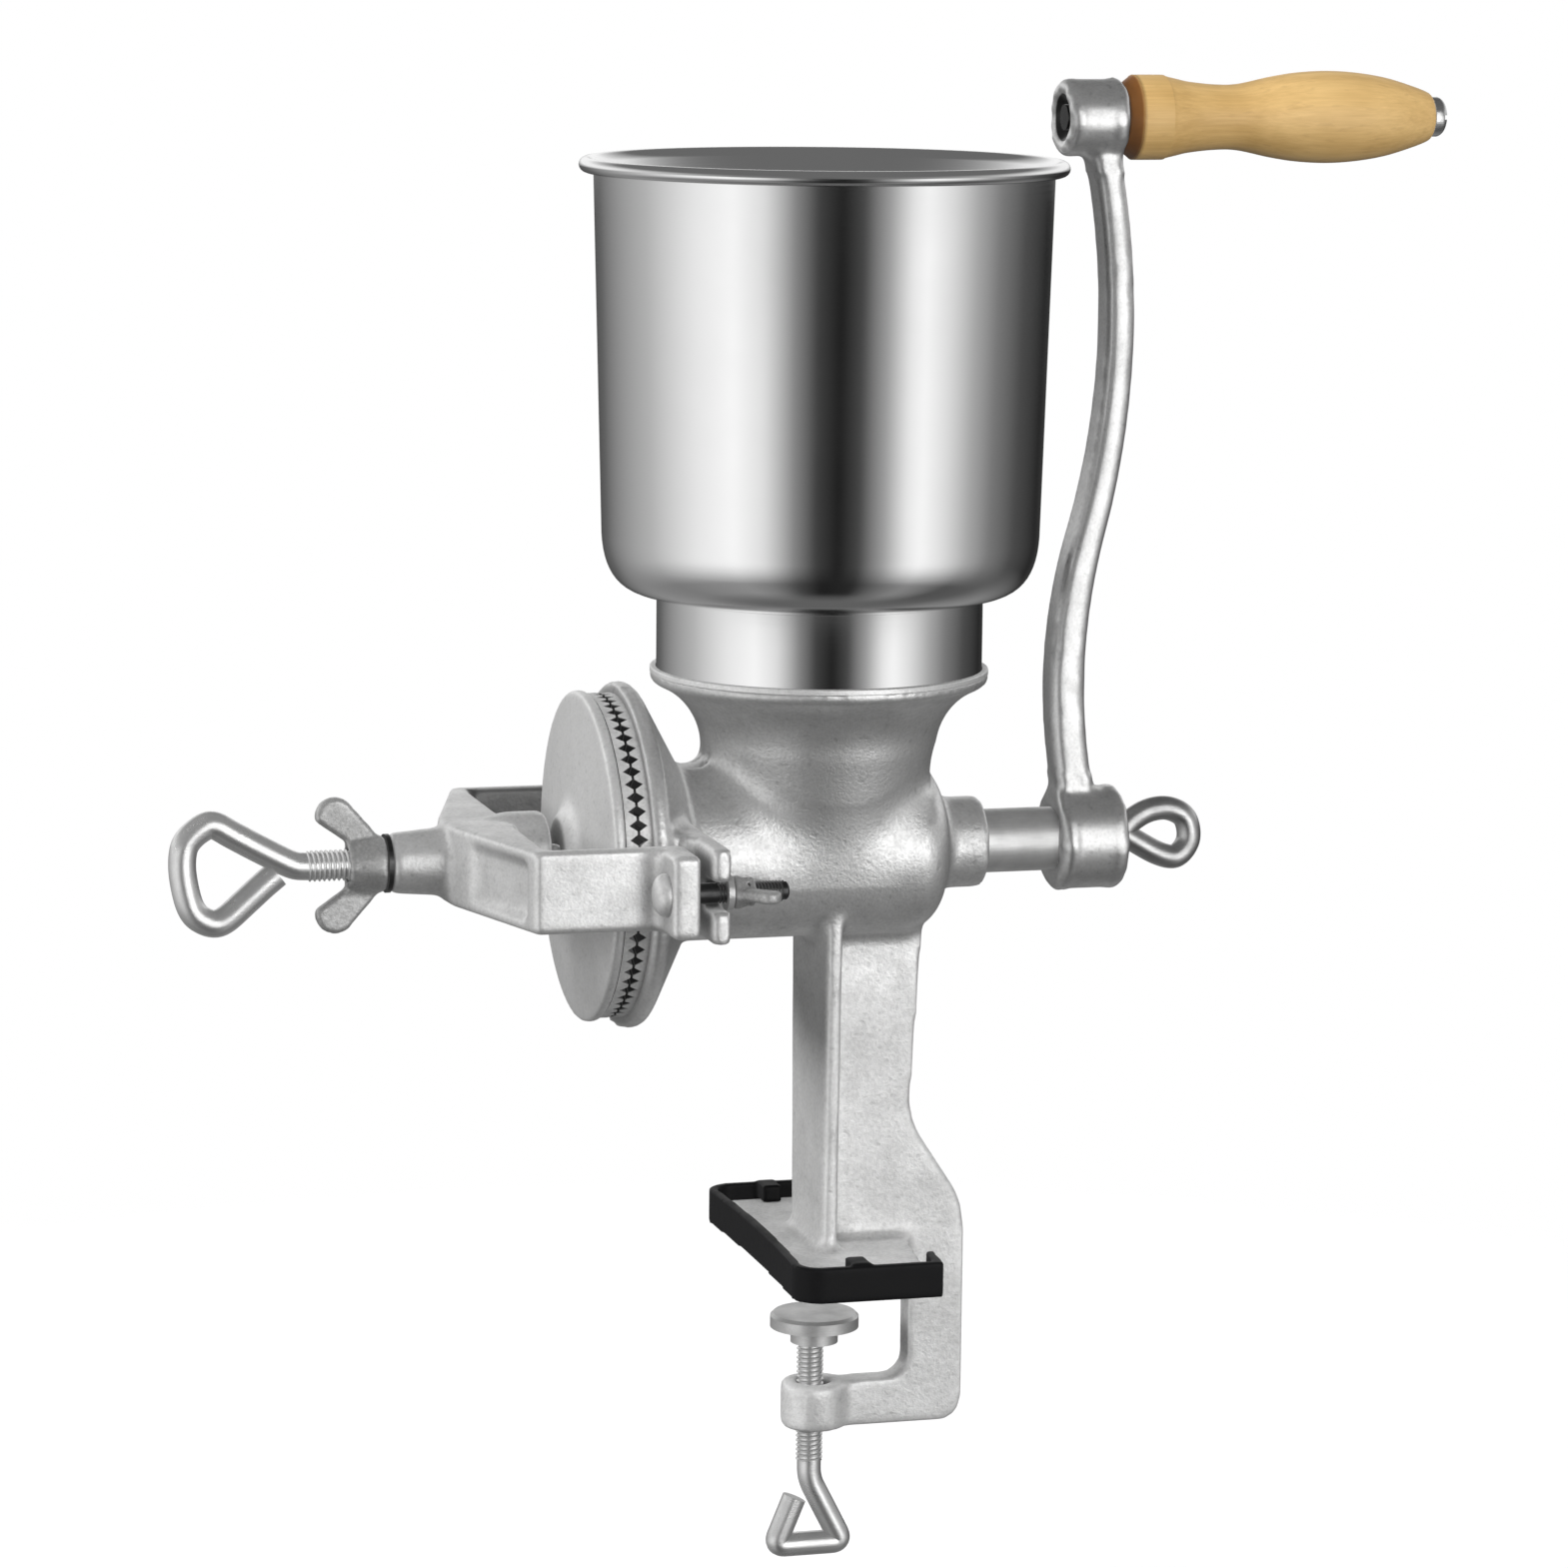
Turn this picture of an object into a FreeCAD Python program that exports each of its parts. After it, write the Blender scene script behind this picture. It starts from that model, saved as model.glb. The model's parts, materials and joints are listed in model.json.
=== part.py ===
"""A hand-crank grain mill that clamps on a table edge, as separate named pieces.

X runs along the crank axis, towards the crank. Z is up, and Z = 0 is the table top under the rubber boot.
X = 0 and Y = 0 lie on the axis of the hopper. Lengths are millimetres.
"""
import FreeCAD
import Part
import Sketcher
import os
from types import SimpleNamespace

# Driving dimensions: name, value, meaning
SIZES = [
    ("axis_height", 131.0, "crank axis above the table"),
    ("run_clear", 0.06, "radial clearance of a shaft or thread in its bore"),
    ("face_clear", 0.1, "gap between flat faces that turn past each other"),
    ("free_clear", 0.35, "gap between faces that must never rub"),
    ("barrel_radius", 27.5, "outside of the grinding barrel"),
    ("barrel_wall", 5.0, "wall of the barrel"),
    ("barrel_end", 38.0, "closed end of the barrel, from the hopper axis"),
    ("barrel_round", 12.0, "rounding of the closed end"),
    ("end_wall", 6.0, "thickness of the closed end"),
    ("bearing_wall", 4.3, "wall of the bearing nose"),
    ("bearing_length", 14.6, "bearing nose past the closed end"),
    ("flange_radius", 53.5, "flange that carries the fixed burr"),
    ("flange_thick", 4.5, "edge of that flange"),
    ("flange_reach", 65.0, "flange face from the hopper axis"),
    ("cone_length", 19.0, "flange face to where its back meets the barrel"),
    ("neck_top", 57.0, "lip of the neck above the crank axis"),
    ("lip_wall", 1.75, "wall of the lip round the hopper's collar"),
    ("lip_height", 4.5, "height of the lip's edge"),
    ("waist_radius", 36.5, "neck at its waist"),
    ("waist_height", 33.0, "waist above the crank axis"),
    ("neck_inset", 0.5, "neck inside the barrel at the axis plane"),
    ("neck_wall", 4.8, "wall of the neck"),
    ("seat_depth", 3.2, "depth of the hopper's seat in the lip"),
    ("seat_ledge", 3.2, "width of the ledge that the hopper stands on"),
    ("web_thick", 10.0, "web of the leg and clamp frame"),
    ("cap_thick", 5.0, "cross plate of the leg"),
    ("cap_reach", 2.0, "outer face of the cross plate from the hopper axis"),
    ("cap_half_top", 22.0, "half width of the cross plate under the barrel"),
    ("cap_half_foot", 19.0, "half width of the cross plate at the foot"),
    ("web_top", 33.0, "web edge under the barrel"),
    ("web_flare", 3.5, "how far the web spreads into the barrel"),
    ("web_flare_drop", 9.0, "where that spread starts under the barrel"),
    ("web_waist", 30.0, "web edge above the clamp"),
    ("shoulder_height", 44.0, "top of the clamp's shoulder above the table"),
    ("shoulder_drop", 28.0, "height of the sloping shoulder"),
    ("shoulder_round", 24.0, "rounding of that shoulder"),
    ("spine_outer", 48.5, "outside of the clamp's spine"),
    ("spine_width", 18.0, "width of the clamp's spine"),
    ("jaw_drop", 40.0, "top of the lower jaw under the table top"),
    ("jaw_height", 15.0, "height of the lower jaw"),
    ("jaw_round", 7.0, "rounding of the clamp's corners"),
    ("clamp_reach", 1.0, "clamp screw from the hopper axis"),
    ("clamp_boss", 10.5, "radius of the clamp screw's boss"),
    ("foot_left", 18.0, "foot plate to the left"),
    ("foot_right", 22.5, "foot plate to the right at its ends"),
    ("foot_bulge", 7.0, "how much wider the plate is at the web"),
    ("foot_waist", 2.0, "hollow of the plate's left edge"),
    ("foot_round", 6.0, "rounding of the plate's left corners"),
    ("foot_half", 55.0, "half length of the foot plate"),
    ("foot_thick", 4.2, "foot plate"),
    ("boot_floor", 2.0, "rubber under the foot plate"),
    ("boot_wall", 3.0, "rubber round the foot plate"),
    ("boot_rise", 4.8, "rubber rim above the foot plate"),
    ("boot_hook", 12.0, "length of the boot's return at its open side"),
    ("boot_tab", 6.0, "width of the tabs that hold the boot on the plate"),
    ("boot_tab_reach", 8.0, "tabs past the boot's end walls"),
    ("boot_tab_rise", 0.8, "tabs above the boot's rim"),
    ("lug_setback", 11.0, "outer face of the lugs behind the flange face"),
    ("lug_thick", 6.0, "lug"),
    ("lug_half", 14.4, "half height of a lug"),
    ("lug_past", 8.5, "lug past the draw bolt"),
    ("lug_root", 20.0, "root of a lug inside the barrel's wall"),
    ("rib_thick", 4.5, "ribs from the flange to the lugs"),
    ("rib_inset", 13.5, "ribs inside the flange's edge"),
    ("slot_clear", 1.2, "open slot round the draw bolt"),
    ("bolt_radius", 3.2, "draw bolt"),
    ("bolt_head", 6.5, "radius of its round head"),
    ("bolt_dome", 4.2, "height of its round head"),
    ("bolt_rim", 1.2, "straight edge of its round head"),
    ("bolt_flat", 1.5, "flat on top of its round head"),
    ("bolt_spare", 10.4, "draw bolt past its nut's hub"),
    ("washer_thick", 1.8, "draw washer"),
    ("washer_radius", 5.3, "draw washer"),
    ("burr_inset", 3.5, "burrs inside the flange's edge"),
    ("burr_thick", 3.6, "both burrs"),
    ("burr_gap", 0.8, "gap between the burrs at rest"),
    ("tooth_count", 72, "grooves round a burr"),
    ("tooth_depth", 2.4, "depth of a groove"),
    ("tooth_half", 1.9, "half width of a groove"),
    ("tooth_length", 6.0, "length of a groove"),
    ("burr_screw_margin", 6.2, "screw heads inside the grooves"),
    ("burr_screw_radius", 2.5, "shank of a burr screw"),
    ("burr_screw_head", 4.8, "head of a burr screw"),
    ("burr_screw_sink", 2.0, "depth of the sunk hole for its head"),
    ("burr_screw_below", 0.3, "head below the burr's face"),
    ("burr_screw_bite", 3.0, "thread in the flange or disc"),
    ("burr_screw_slot", 1.0, "width and depth of a burr screw's slot"),
    ("burr_screw_count", 3, "screws of each burr"),
    ("disc_margin", 1.0, "carrier disc past its burr"),
    ("disc_edge", 3.6, "edge of the carrier disc"),
    ("disc_dish", 2.5, "how far the disc's face rises to the hub"),
    ("hub_radius", 12.0, "outer hub of the disc"),
    ("hub_foot", 21.0, "foot of the hub's cone"),
    ("hub_length", 6.5, "outer hub past the disc's edge"),
    ("spigot_wall", 5.6, "wall of the disc's inner hub"),
    ("spigot_length", 8.0, "inner hub past the disc's inner face"),
    ("journal_radius", 9.0, "end of the feed screw in the hub"),
    ("hub_wall", 1.6, "wall between the feed screw's end and the ball's seat"),
    ("pin_radius", 2.5, "drive pin"),
    ("ball_radius", 4.0, "thrust ball"),
    ("ball_sink", 3.0, "depth of the ball's seat"),
    ("core_radius", 11.0, "core of the feed screw"),
    ("flight_gap", 1.2, "flight to the barrel's bore"),
    ("flight_thick", 4.0, "thickness of the flight"),
    ("flight_pitch", 28.0, "pitch of the flight"),
    ("shaft_radius", 10.0, "shaft in the bearing"),
    ("shaft_show", 24.0, "shaft between the bearing nose and the crank"),
    ("square_half", 7.0, "half side of the shaft's square end"),
    ("square_length", 15.5, "square end in the crank"),
    ("square_clear", 0.1, "fit of the square end"),
    ("crank_length", 225.5, "crank axis to grip axis"),
    ("crank_boss", 16.1, "radius of the lower boss"),
    ("crank_end_wall", 5.8, "lower boss past the square end"),
    ("crank_top_boss", 11.85, "radius of the upper boss"),
    ("rim_clear", 0.6, "upper boss to the hopper's rim"),
    ("crank_top_length", 19.1, "upper boss"),
    ("crank_width", 14.0, "arm across its swing"),
    ("arm_half_low", 5.6, "half thickness of the arm, lower half"),
    ("arm_half_top", 4.6, "half thickness of the arm, upper end"),
    ("arm_low", 8.4, "arm's middle line at the lower boss, from that boss's face"),
    ("arm_dip", 3.2, "arm's middle line where it dips in, from that face"),
    ("arm_mid", 9.9, "arm's middle line where the curve turns, from that face"),
    ("arm_crest", 18.2, "arm's middle line where it bulges out, from that face"),
    ("arm_top", 12.4, "arm's middle line at the upper boss, from its left face"),
    ("arm_dip_height", 52.0, "height of the dip above the crank axis"),
    ("arm_mid_height", 98.0, "height of the turn of the curve"),
    ("arm_crest_height", 157.0, "height of the bulge"),
    ("recess_radius", 7.2, "recess round the spindle's end"),
    ("recess_depth", 3.0, "depth of that recess"),
    ("spindle_radius", 4.0, "grip spindle"),
    ("spindle_clear", 0.2, "grip on its spindle"),
    ("spindle_head", 6.2, "radius of the spindle's head"),
    ("spindle_head_length", 4.2, "spindle's head"),
    ("spindle_slot", 1.4, "width and depth of the head's slot"),
    ("grip_length", 102.0, "wooden grip"),
    ("grip_collar", 12.8, "grip at its inner end"),
    ("grip_bevel", 2.2, "bevel of the inner end"),
    ("grip_waist", 10.4, "grip at its waist"),
    ("grip_swell", 0.6, "roundness of the grip before its waist"),
    ("grip_belly", 14.15, "grip at its belly"),
    ("grip_tail", 9.8, "grip before its outer end"),
    ("grip_end", 6.6, "grip at its outer end"),
    ("grip_waist_place", 31.0, "waist from the inner end"),
    ("grip_tail_length", 9.5, "rounded outer end"),
    ("eye_stem", 14.0, "crank eye screw in the shaft"),
    ("eye_stem_radius", 3.2, "crank eye screw"),
    ("eye_wire", 3.3, "wire of the crank eye screw's loop"),
    ("eye_loop", 26.3, "length of that loop"),
    ("eye_half", 8.2, "half height of that loop at the wire's middle"),
    ("eye_bend", 5.7, "bend of that loop"),
    ("eye_collar", 6.0, "collar of the crank eye screw"),
    ("eye_collar_length", 2.2, "length of that collar"),
    ("boss_radius", 9.2, "boss of the yoke"),
    ("boss_length", 17.0, "boss past the cross web"),
    ("web_rise", 15.0, "how far the cross web slants out to the boss"),
    ("yoke_gap", 4.0, "inner boss to the disc's hub"),
    ("boss_inner_radius", 14.5, "inner boss"),
    ("boss_root_radius", 10.6, "boss where it meets the cross web"),
    ("yoke_web", 4.5, "cross web at the bend of an arm"),
    ("boss_proud", 11.9, "inner boss past the cross web"),
    ("yoke_half", 12.6, "half height of the yoke's arms"),
    ("arm_clear", 1.9, "arm of the yoke to the flange's edge"),
    ("arm_thick", 5.6, "arm of the yoke"),
    ("ear_lead", 0.8, "outer face of an ear before the flange face"),
    ("ear_thick", 8.5, "ear"),
    ("ear_flare", 6.0, "length of the taper from the arm into its ear"),
    ("ear_step", 1.65, "width of that taper"),
    ("panel_depth", 2.6, "recessed panel of the yoke's slanted faces"),
    ("panel_border", 3.6, "rim above and below that panel"),
    ("panel_near", 0.22, "panel's start, as a share of the slanted face"),
    ("panel_far", 0.9, "panel's end, as a share of the slanted face"),
    ("panel_bevel", 2.0, "slope of the panel's ends"),
    ("screw_radius", 5.0, "adjusting screw"),
    ("screw_spare", 6.2, "adjusting screw past its nut's wings"),
    ("screw_wire", 4.2, "wire of its loop"),
    ("screw_loop", 35.2, "length of its loop at the wire's middle"),
    ("screw_rise", 19.4, "upper corner of its loop above the screw's axis"),
    ("screw_drop", 24.2, "lower corner of its loop below the screw's axis"),
    ("screw_lean", 3.8, "how far the loop's outer side leans"),
    ("screw_bend", 8.0, "bend of its loop"),
    ("lock_thick", 1.4, "lock washer"),
    ("lock_radius", 9.0, "lock washer"),
    ("nut_base", 8.6, "lock wing nut at its face"),
    ("nut_crown", 7.4, "lock wing nut at its outer end"),
    ("nut_length", 11.5, "hub of the lock wing nut"),
    ("nut_span", 19.6, "half span of its wings"),
    ("nut_sweep", 21.0, "how far its wings lean out"),
    ("nut_wing", 4.6, "thickness of its wings"),
    ("small_nut_base", 5.0, "draw wing nut at its face"),
    ("small_nut_crown", 4.3, "draw wing nut at its outer end"),
    ("small_nut_length", 7.0, "hub of the draw wing nut"),
    ("small_nut_span", 13.0, "half span of its wings"),
    ("small_nut_sweep", 12.5, "how far its wings lean out"),
    ("small_nut_wing", 3.6, "thickness of its wings"),
    ("collar_radius", 50.4, "hopper collar"),
    ("collar_fit", 0.25, "collar in the neck's seat"),
    ("collar_height", 26.2, "collar from its seat to the bowl"),
    ("sheet_thick", 1.0, "sheet of the hopper"),
    ("collar_flange", 4.0, "flange of the collar under the bowl"),
    ("bowl_height", 132.8, "bowl"),
    ("floor_margin", 2.1, "flat floor of the bowl past the collar"),
    ("bowl_low", 67.5, "bowl above its rounded bottom"),
    ("bowl_top", 70.5, "bowl under its rim"),
    ("bowl_corner", 18.0, "height of the rounded bottom"),
    ("rim_roll", 4.5, "rolled rim past the bowl's wall"),
    ("rim_height", 5.2, "height of the rolled rim"),
    ("clamp_radius", 5.0, "clamp screw"),
    ("clamp_tip", 4.0, "tip of the clamp screw in its pad"),
    ("clamp_tip_length", 7.0, "length of that tip"),
    ("clamp_spare", 15.6, "clamp screw under the jaw"),
    ("clamp_wire", 3.8, "wire of its loop"),
    ("clamp_loop", 23.0, "length of its loop at the wire's middle"),
    ("clamp_half", 11.0, "half height of its loop at the wire's middle"),
    ("clamp_bend", 6.0, "bend of its loop"),
    ("table_thick", 18.0, "table that the clamp is set for"),
    ("pad_radius", 14.0, "clamp pad"),
    ("pad_thick", 4.5, "clamp pad"),
    ("pad_edge", 1.0, "bevel of the clamp pad's edge"),
    ("pad_socket", 7.5, "socket under the pad"),
    ("pad_socket_length", 5.0, "length of that socket"),
]

SHEET = "sizes"

# How far a cut runs past the face that it opens
OVER = 1.0
# Share of a radius at 45 degrees
DIAGONAL = 0.5 ** 0.5


class Size:
    """A number together with the sheet expression that it comes from."""

    def __init__(self, value, text):
        self.value = value
        self.text = text

    def __add__(self, other):
        other = as_size(other)
        return Size(self.value + other.value, f"({self.text} + {other.text})")

    def __sub__(self, other):
        other = as_size(other)
        return Size(self.value - other.value, f"({self.text} - {other.text})")

    def __mul__(self, other):
        other = as_size(other)
        return Size(self.value * other.value, f"({self.text} * {other.text})")

    def __truediv__(self, other):
        other = as_size(other)
        return Size(self.value / other.value, f"({self.text} / {other.text})")

    def __neg__(self):
        return Size(-self.value, f"(0 - {self.text})")

    def __radd__(self, other):
        return as_size(other) + self

    def __rsub__(self, other):
        return as_size(other) - self

    def __rmul__(self, other):
        return as_size(other) * self


def as_size(value):
    """Give a plain number the form of a size."""
    return value if isinstance(value, Size) else Size(float(value), f"{float(value):.6f}")


def bind(target, path, size):
    """Tie one property of an object to a size."""
    target.setExpression(path, as_size(size).text)


def flat(x, y):
    """A point of a sketch from two sizes."""
    return FreeCAD.Vector(as_size(x).value, as_size(y).value, 0)


doc = FreeCAD.newDocument("grain_mill")


def fill_sheet():
    """Write the driving dimensions into the sheet and return them as sizes."""
    sheet = doc.addObject("Spreadsheet::Sheet", SHEET)
    named = {}
    for row, (name, value, meaning) in enumerate(SIZES, start=1):
        sheet.set(f"A{row}", meaning)
        sheet.set(f"B{row}", str(value))
        sheet.setAlias(f"B{row}", name)
        named[name] = Size(float(value), f"{SHEET}.{name}")
    doc.recompute()
    return SimpleNamespace(**named)


class Drawing:
    """A sketch on one of a body's origin planes, with every point tied to sizes."""

    def __init__(self, body, plane, offset=0):
        self.sketch = body.newObject("Sketcher::SketchObject", f"{body.Name}_sketch")
        role = f"{plane}_Plane"
        support = next(item for item in body.Origin.OriginFeatures if item.Role == role)
        self.sketch.AttachmentSupport = [(support, "")]
        self.sketch.MapMode = "FlatFace"
        bind(self.sketch, "AttachmentOffset.Base.z", offset)

    def value(self, kind, *ends, size):
        """Add one dimension and tie it to a size."""
        size = as_size(size)
        index = self.sketch.addConstraint(Sketcher.Constraint(kind, *ends, size.value))
        self.sketch.setExpression(f"Constraints[{index}]", size.text)

    def pin(self, shape, end, x, y):
        """Fix one end of a shape at a place."""
        self.value("DistanceX", -1, 1, shape, end, size=x)
        self.value("DistanceY", -1, 1, shape, end, size=y)

    def mark(self, x, y):
        """Add a fixed construction point."""
        point = self.sketch.addGeometry(Part.Point(flat(x, y)), True)
        self.pin(point, 1, x, y)
        return point

    def outline(self, corners, through=None):
        """Draw a closed outline of lines, with arcs through given points on some sides."""
        through = through or {}
        following = corners[1:] + corners[:1]
        ends = []
        for side, (start, stop) in enumerate(zip(corners, following)):
            if side in through:
                curve = Part.Arc(flat(*start), flat(*through[side]), flat(*stop))
            else:
                curve = Part.LineSegment(flat(*start), flat(*stop))
            shape = self.sketch.addGeometry(curve, False)
            forward = self.sketch.getPoint(shape, 1).isEqual(flat(*start), 1e-6)
            ends.append((shape, 1, 2) if forward else (shape, 2, 1))
        for side, (shape, first, last) in enumerate(ends):
            after, after_first, _ = ends[(side + 1) % len(ends)]
            self.sketch.addConstraint(Sketcher.Constraint("Coincident", shape, last, after, after_first))
            self.pin(shape, first, *corners[side])
            if side in through:
                middle = self.mark(*through[side])
                self.sketch.addConstraint(Sketcher.Constraint("PointOnObject", middle, 1, shape))
        return self

    def circle(self, x, y, radius):
        """Draw a circle."""
        curve = Part.Circle(flat(x, y), FreeCAD.Vector(0, 0, 1), as_size(radius).value)
        shape = self.sketch.addGeometry(curve, False)
        self.pin(shape, 3, x, y)
        self.value("Radius", shape, size=radius)
        return self

    def bent_path(self, points, radius):
        """Draw an open path of straight runs, joined by tangent arcs of one radius."""
        spots = [flat(*point) for point in points]
        bend = as_size(radius).value
        cuts = []
        for before, corner, after in zip(spots, spots[1:], spots[2:]):
            back = (before - corner).normalize()
            ahead = (after - corner).normalize()
            half_turn = (back + ahead).normalize()
            reach = bend / abs(back.cross(half_turn).Length) * back.dot(half_turn)
            centre = corner + half_turn * (bend / back.cross(half_turn).Length)
            top = centre - half_turn * bend
            cuts.append((corner + back * reach, top, corner + ahead * reach))
        starts = [spots[0]] + [cut[2] for cut in cuts]
        stops = [cut[0] for cut in cuts] + [spots[-1]]
        runs = [self.sketch.addGeometry(Part.LineSegment(a, b), False) for a, b in zip(starts, stops)]
        self.pin(runs[0], 1, *points[0])
        for index, (entry, top, leave) in enumerate(cuts):
            arc = self.sketch.addGeometry(Part.Arc(entry, top, leave), False)
            forward = self.sketch.getPoint(arc, 1).isEqual(entry, 1e-6)
            first, last = (1, 2) if forward else (2, 1)
            self.sketch.addConstraint(Sketcher.Constraint("Tangent", runs[index], 2, arc, first))
            self.sketch.addConstraint(Sketcher.Constraint("Tangent", arc, last, runs[index + 1], 1))
            self.value("Radius", arc, size=radius)
            corner = self.mark(*points[index + 1])
            self.sketch.addConstraint(Sketcher.Constraint("PointOnObject", corner, 1, runs[index]))
            self.sketch.addConstraint(Sketcher.Constraint("PointOnObject", corner, 1, runs[index + 1]))
        self.pin(runs[-1], 2, *points[-1])
        return self


class Piece:
    """One physical piece: a body with its place, built feature by feature."""

    made = []

    def __init__(self, label, x=0, y=0, z=0, turn_axis=(0, 0, 1), turn=0, many=False):
        self.body = doc.addObject("PartDesign::Body", label)
        self.body.Label = label
        self.body.AllowCompound = many
        self.body.Placement = FreeCAD.Placement(
            FreeCAD.Vector(), FreeCAD.Rotation(FreeCAD.Vector(*turn_axis), turn))
        for name, size in (("x", x), ("y", y), ("z", z)):
            bind(self.body, f"Placement.Base.{name}", size)
        Piece.made.append(self.body)

    def draw(self, plane, offset=0):
        """Start a sketch on an origin plane, moved along its normal."""
        return Drawing(self.body, plane, offset)

    def feature(self, kind, drawing):
        """Add a feature that uses a sketch."""
        item = self.body.newObject(f"PartDesign::{kind}", f"{self.body.Name}_{kind}")
        item.Profile = drawing.sketch
        drawing.sketch.Visibility = False
        return item

    def volume(self):
        """Bring the model up to date and return the body's volume."""
        doc.recompute()
        return self.body.Shape.Volume

    def pad(self, drawing, length, symmetric=False):
        """Raise a sketch along its normal, or to both sides of it."""
        item = self.feature("Pad", drawing)
        if symmetric:
            item.SideType = "Symmetric"
        bind(item, "Length", length)
        return item

    def pocket(self, drawing, length, symmetric=False):
        """Cut a sketch out along its normal, or to both sides of it."""
        before = self.volume()
        item = self.feature("Pocket", drawing)
        item.Reversed = not symmetric
        if symmetric:
            item.SideType = "Symmetric"
        bind(item, "Length", length)
        self.require_less(before)
        return item

    def revolve(self, drawing, axis="H_Axis"):
        """Turn a sketch about one of its axes."""
        item = self.feature("Revolution", drawing)
        item.ReferenceAxis = (drawing.sketch, [axis])
        return item

    def groove(self, drawing, axis="H_Axis"):
        """Cut a sketch out all round one of its axes."""
        before = self.volume()
        item = self.feature("Groove", drawing)
        item.ReferenceAxis = (drawing.sketch, [axis])
        self.require_less(before)
        return item

    def pipe(self, section, path):
        """Run a section along a path."""
        item = self.feature("AdditivePipe", section)
        item.Spine = path.sketch
        path.sketch.Visibility = False
        return item

    def around_x(self, features, count):
        """Repeat features evenly about the crank axis."""
        item = self.body.newObject("PartDesign::PolarPattern", f"{self.body.Name}_pattern")
        item.Originals = features
        item.Axis = (self.draw("XZ").sketch, ["H_Axis"])
        item.Angle = 360
        bind(item, "Occurrences", count)
        self.body.Tip = item
        return item

    def fillet(self, radius, chosen):
        """Round the edges of the body so far that a test picks."""
        doc.recompute()
        base = self.body.Tip
        names = [f"Edge{n}" for n, edge in enumerate(base.Shape.Edges, start=1) if chosen(edge)]
        if not names:
            raise ValueError(f"{self.body.Label}: no edge to round")
        item = self.body.newObject("PartDesign::Fillet", f"{self.body.Name}_fillet")
        item.Base = (base, names)
        bind(item, "Radius", radius)
        return item

    def require_less(self, before):
        """Stop if a cut took nothing away."""
        if self.volume() > before - 0.01:
            raise ValueError(f"{self.body.Label}: a cut removed nothing")


def stands_at(places, axis, across):
    """A test for straight edges along one axis at given places on the other two."""
    def chosen(edge):
        return runs_along(edge, axis) and any(
            abs(edge.Vertexes[0].Point[across[0]] - as_size(first).value) < 0.01
            and abs(edge.Vertexes[0].Point[across[1]] - as_size(second).value) < 0.01
            for first, second in places)
    return chosen


def runs_along(edge, axis):
    """Whether an edge is a straight line along one axis."""
    if len(edge.Vertexes) != 2:
        return False
    step = edge.Vertexes[1].Point - edge.Vertexes[0].Point
    return step.Length > 1e-6 and abs(abs(step[axis]) - step.Length) < 1e-6


d = fill_sheet()

# Radii and offsets that several pieces share
shaft_bore = d.shaft_radius + d.run_clear
bearing_radius = d.shaft_radius + d.bearing_wall
bore_radius = d.barrel_radius - d.barrel_wall
neck_foot = d.barrel_radius - d.neck_inset
socket_radius = d.collar_radius + d.collar_fit
lip_radius = socket_radius + d.lip_wall
rim_radius = d.bowl_top + d.rim_roll
burr_radius = d.flange_radius - d.burr_inset
tooth_start = burr_radius - d.tooth_length
burr_screw_ring = tooth_start - d.burr_screw_head - d.burr_screw_margin
spigot_radius = d.journal_radius + d.spigot_wall
arm_inner = d.flange_radius + d.arm_clear
arm_outer = arm_inner + d.arm_thick
bolt_offset = arm_outer + d.ear_step + d.bolt_head + d.free_clear
bolt_bore = d.bolt_radius + d.run_clear
lug_tip = bolt_offset + d.lug_past
screw_bore = d.screw_radius + d.run_clear

# Places that several pieces share, along the crank axis from the hopper axis
flange_face = -d.flange_reach
fixed_burr_face = flange_face - d.burr_thick
turning_burr_face = fixed_burr_face - d.burr_gap
disc_inner = turning_burr_face - d.burr_thick
disc_outer = disc_inner - d.disc_edge
hub_end = disc_outer - d.hub_length
ball_middle = hub_end + d.ball_sink - d.face_clear - d.ball_radius
screw_tip = ball_middle - d.ball_radius - d.face_clear
journal_floor = hub_end + d.ball_sink + d.hub_wall
journal_end = journal_floor + d.free_clear
spigot_end = disc_inner + d.spigot_length
pin_place = spigot_end - d.pin_radius - d.free_clear
bore_end = d.barrel_end - d.end_wall
bearing_end = d.barrel_end + d.bearing_length
crank_face = bearing_end + d.shaft_show
square_end = crank_face + d.square_length
crank_end = square_end + d.crank_end_wall
crank_top_left = rim_radius + d.rim_clear
crank_top_right = crank_top_left + d.crank_top_length
grip_start = crank_top_right + d.free_clear
grip_stop = grip_start + d.grip_length
lug_face = flange_face + d.lug_setback
lug_back = lug_face + d.lug_thick
ear_face = flange_face - d.ear_lead
ear_back = ear_face + d.ear_thick
washer_back = lug_back + d.washer_thick
nut_start = washer_back + d.face_clear
bolt_tail = nut_start + d.small_nut_length + d.bolt_spare
boss_inner = hub_end - d.yoke_gap
yoke_inner = boss_inner - d.boss_proud
yoke_bend = yoke_inner - d.yoke_web
boss_root = yoke_bend - d.web_rise
boss_face = boss_root - d.boss_length
lock_face = boss_face - d.face_clear
lock_back = lock_face - d.lock_thick
lock_nut_start = lock_back - d.face_clear
screw_root = lock_nut_start - d.nut_sweep - d.screw_spare

# Heights that several pieces share, from the table top
plate_top = d.boot_floor + d.foot_thick
boot_top = plate_top + d.boot_rise
seat_height = d.axis_height + d.neck_top - d.seat_depth
pad_top = -d.table_thick
pad_bottom = pad_top - d.pad_thick
jaw_top = -d.jaw_drop
jaw_bottom = jaw_top - d.jaw_height
clamp_tip_end = pad_bottom - d.face_clear
clamp_root = jaw_bottom - d.clamp_spare
grip_height = d.axis_height + d.crank_length


def above_axis(height):
    """A height above the table, measured from the crank axis."""
    return height - d.axis_height


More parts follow.
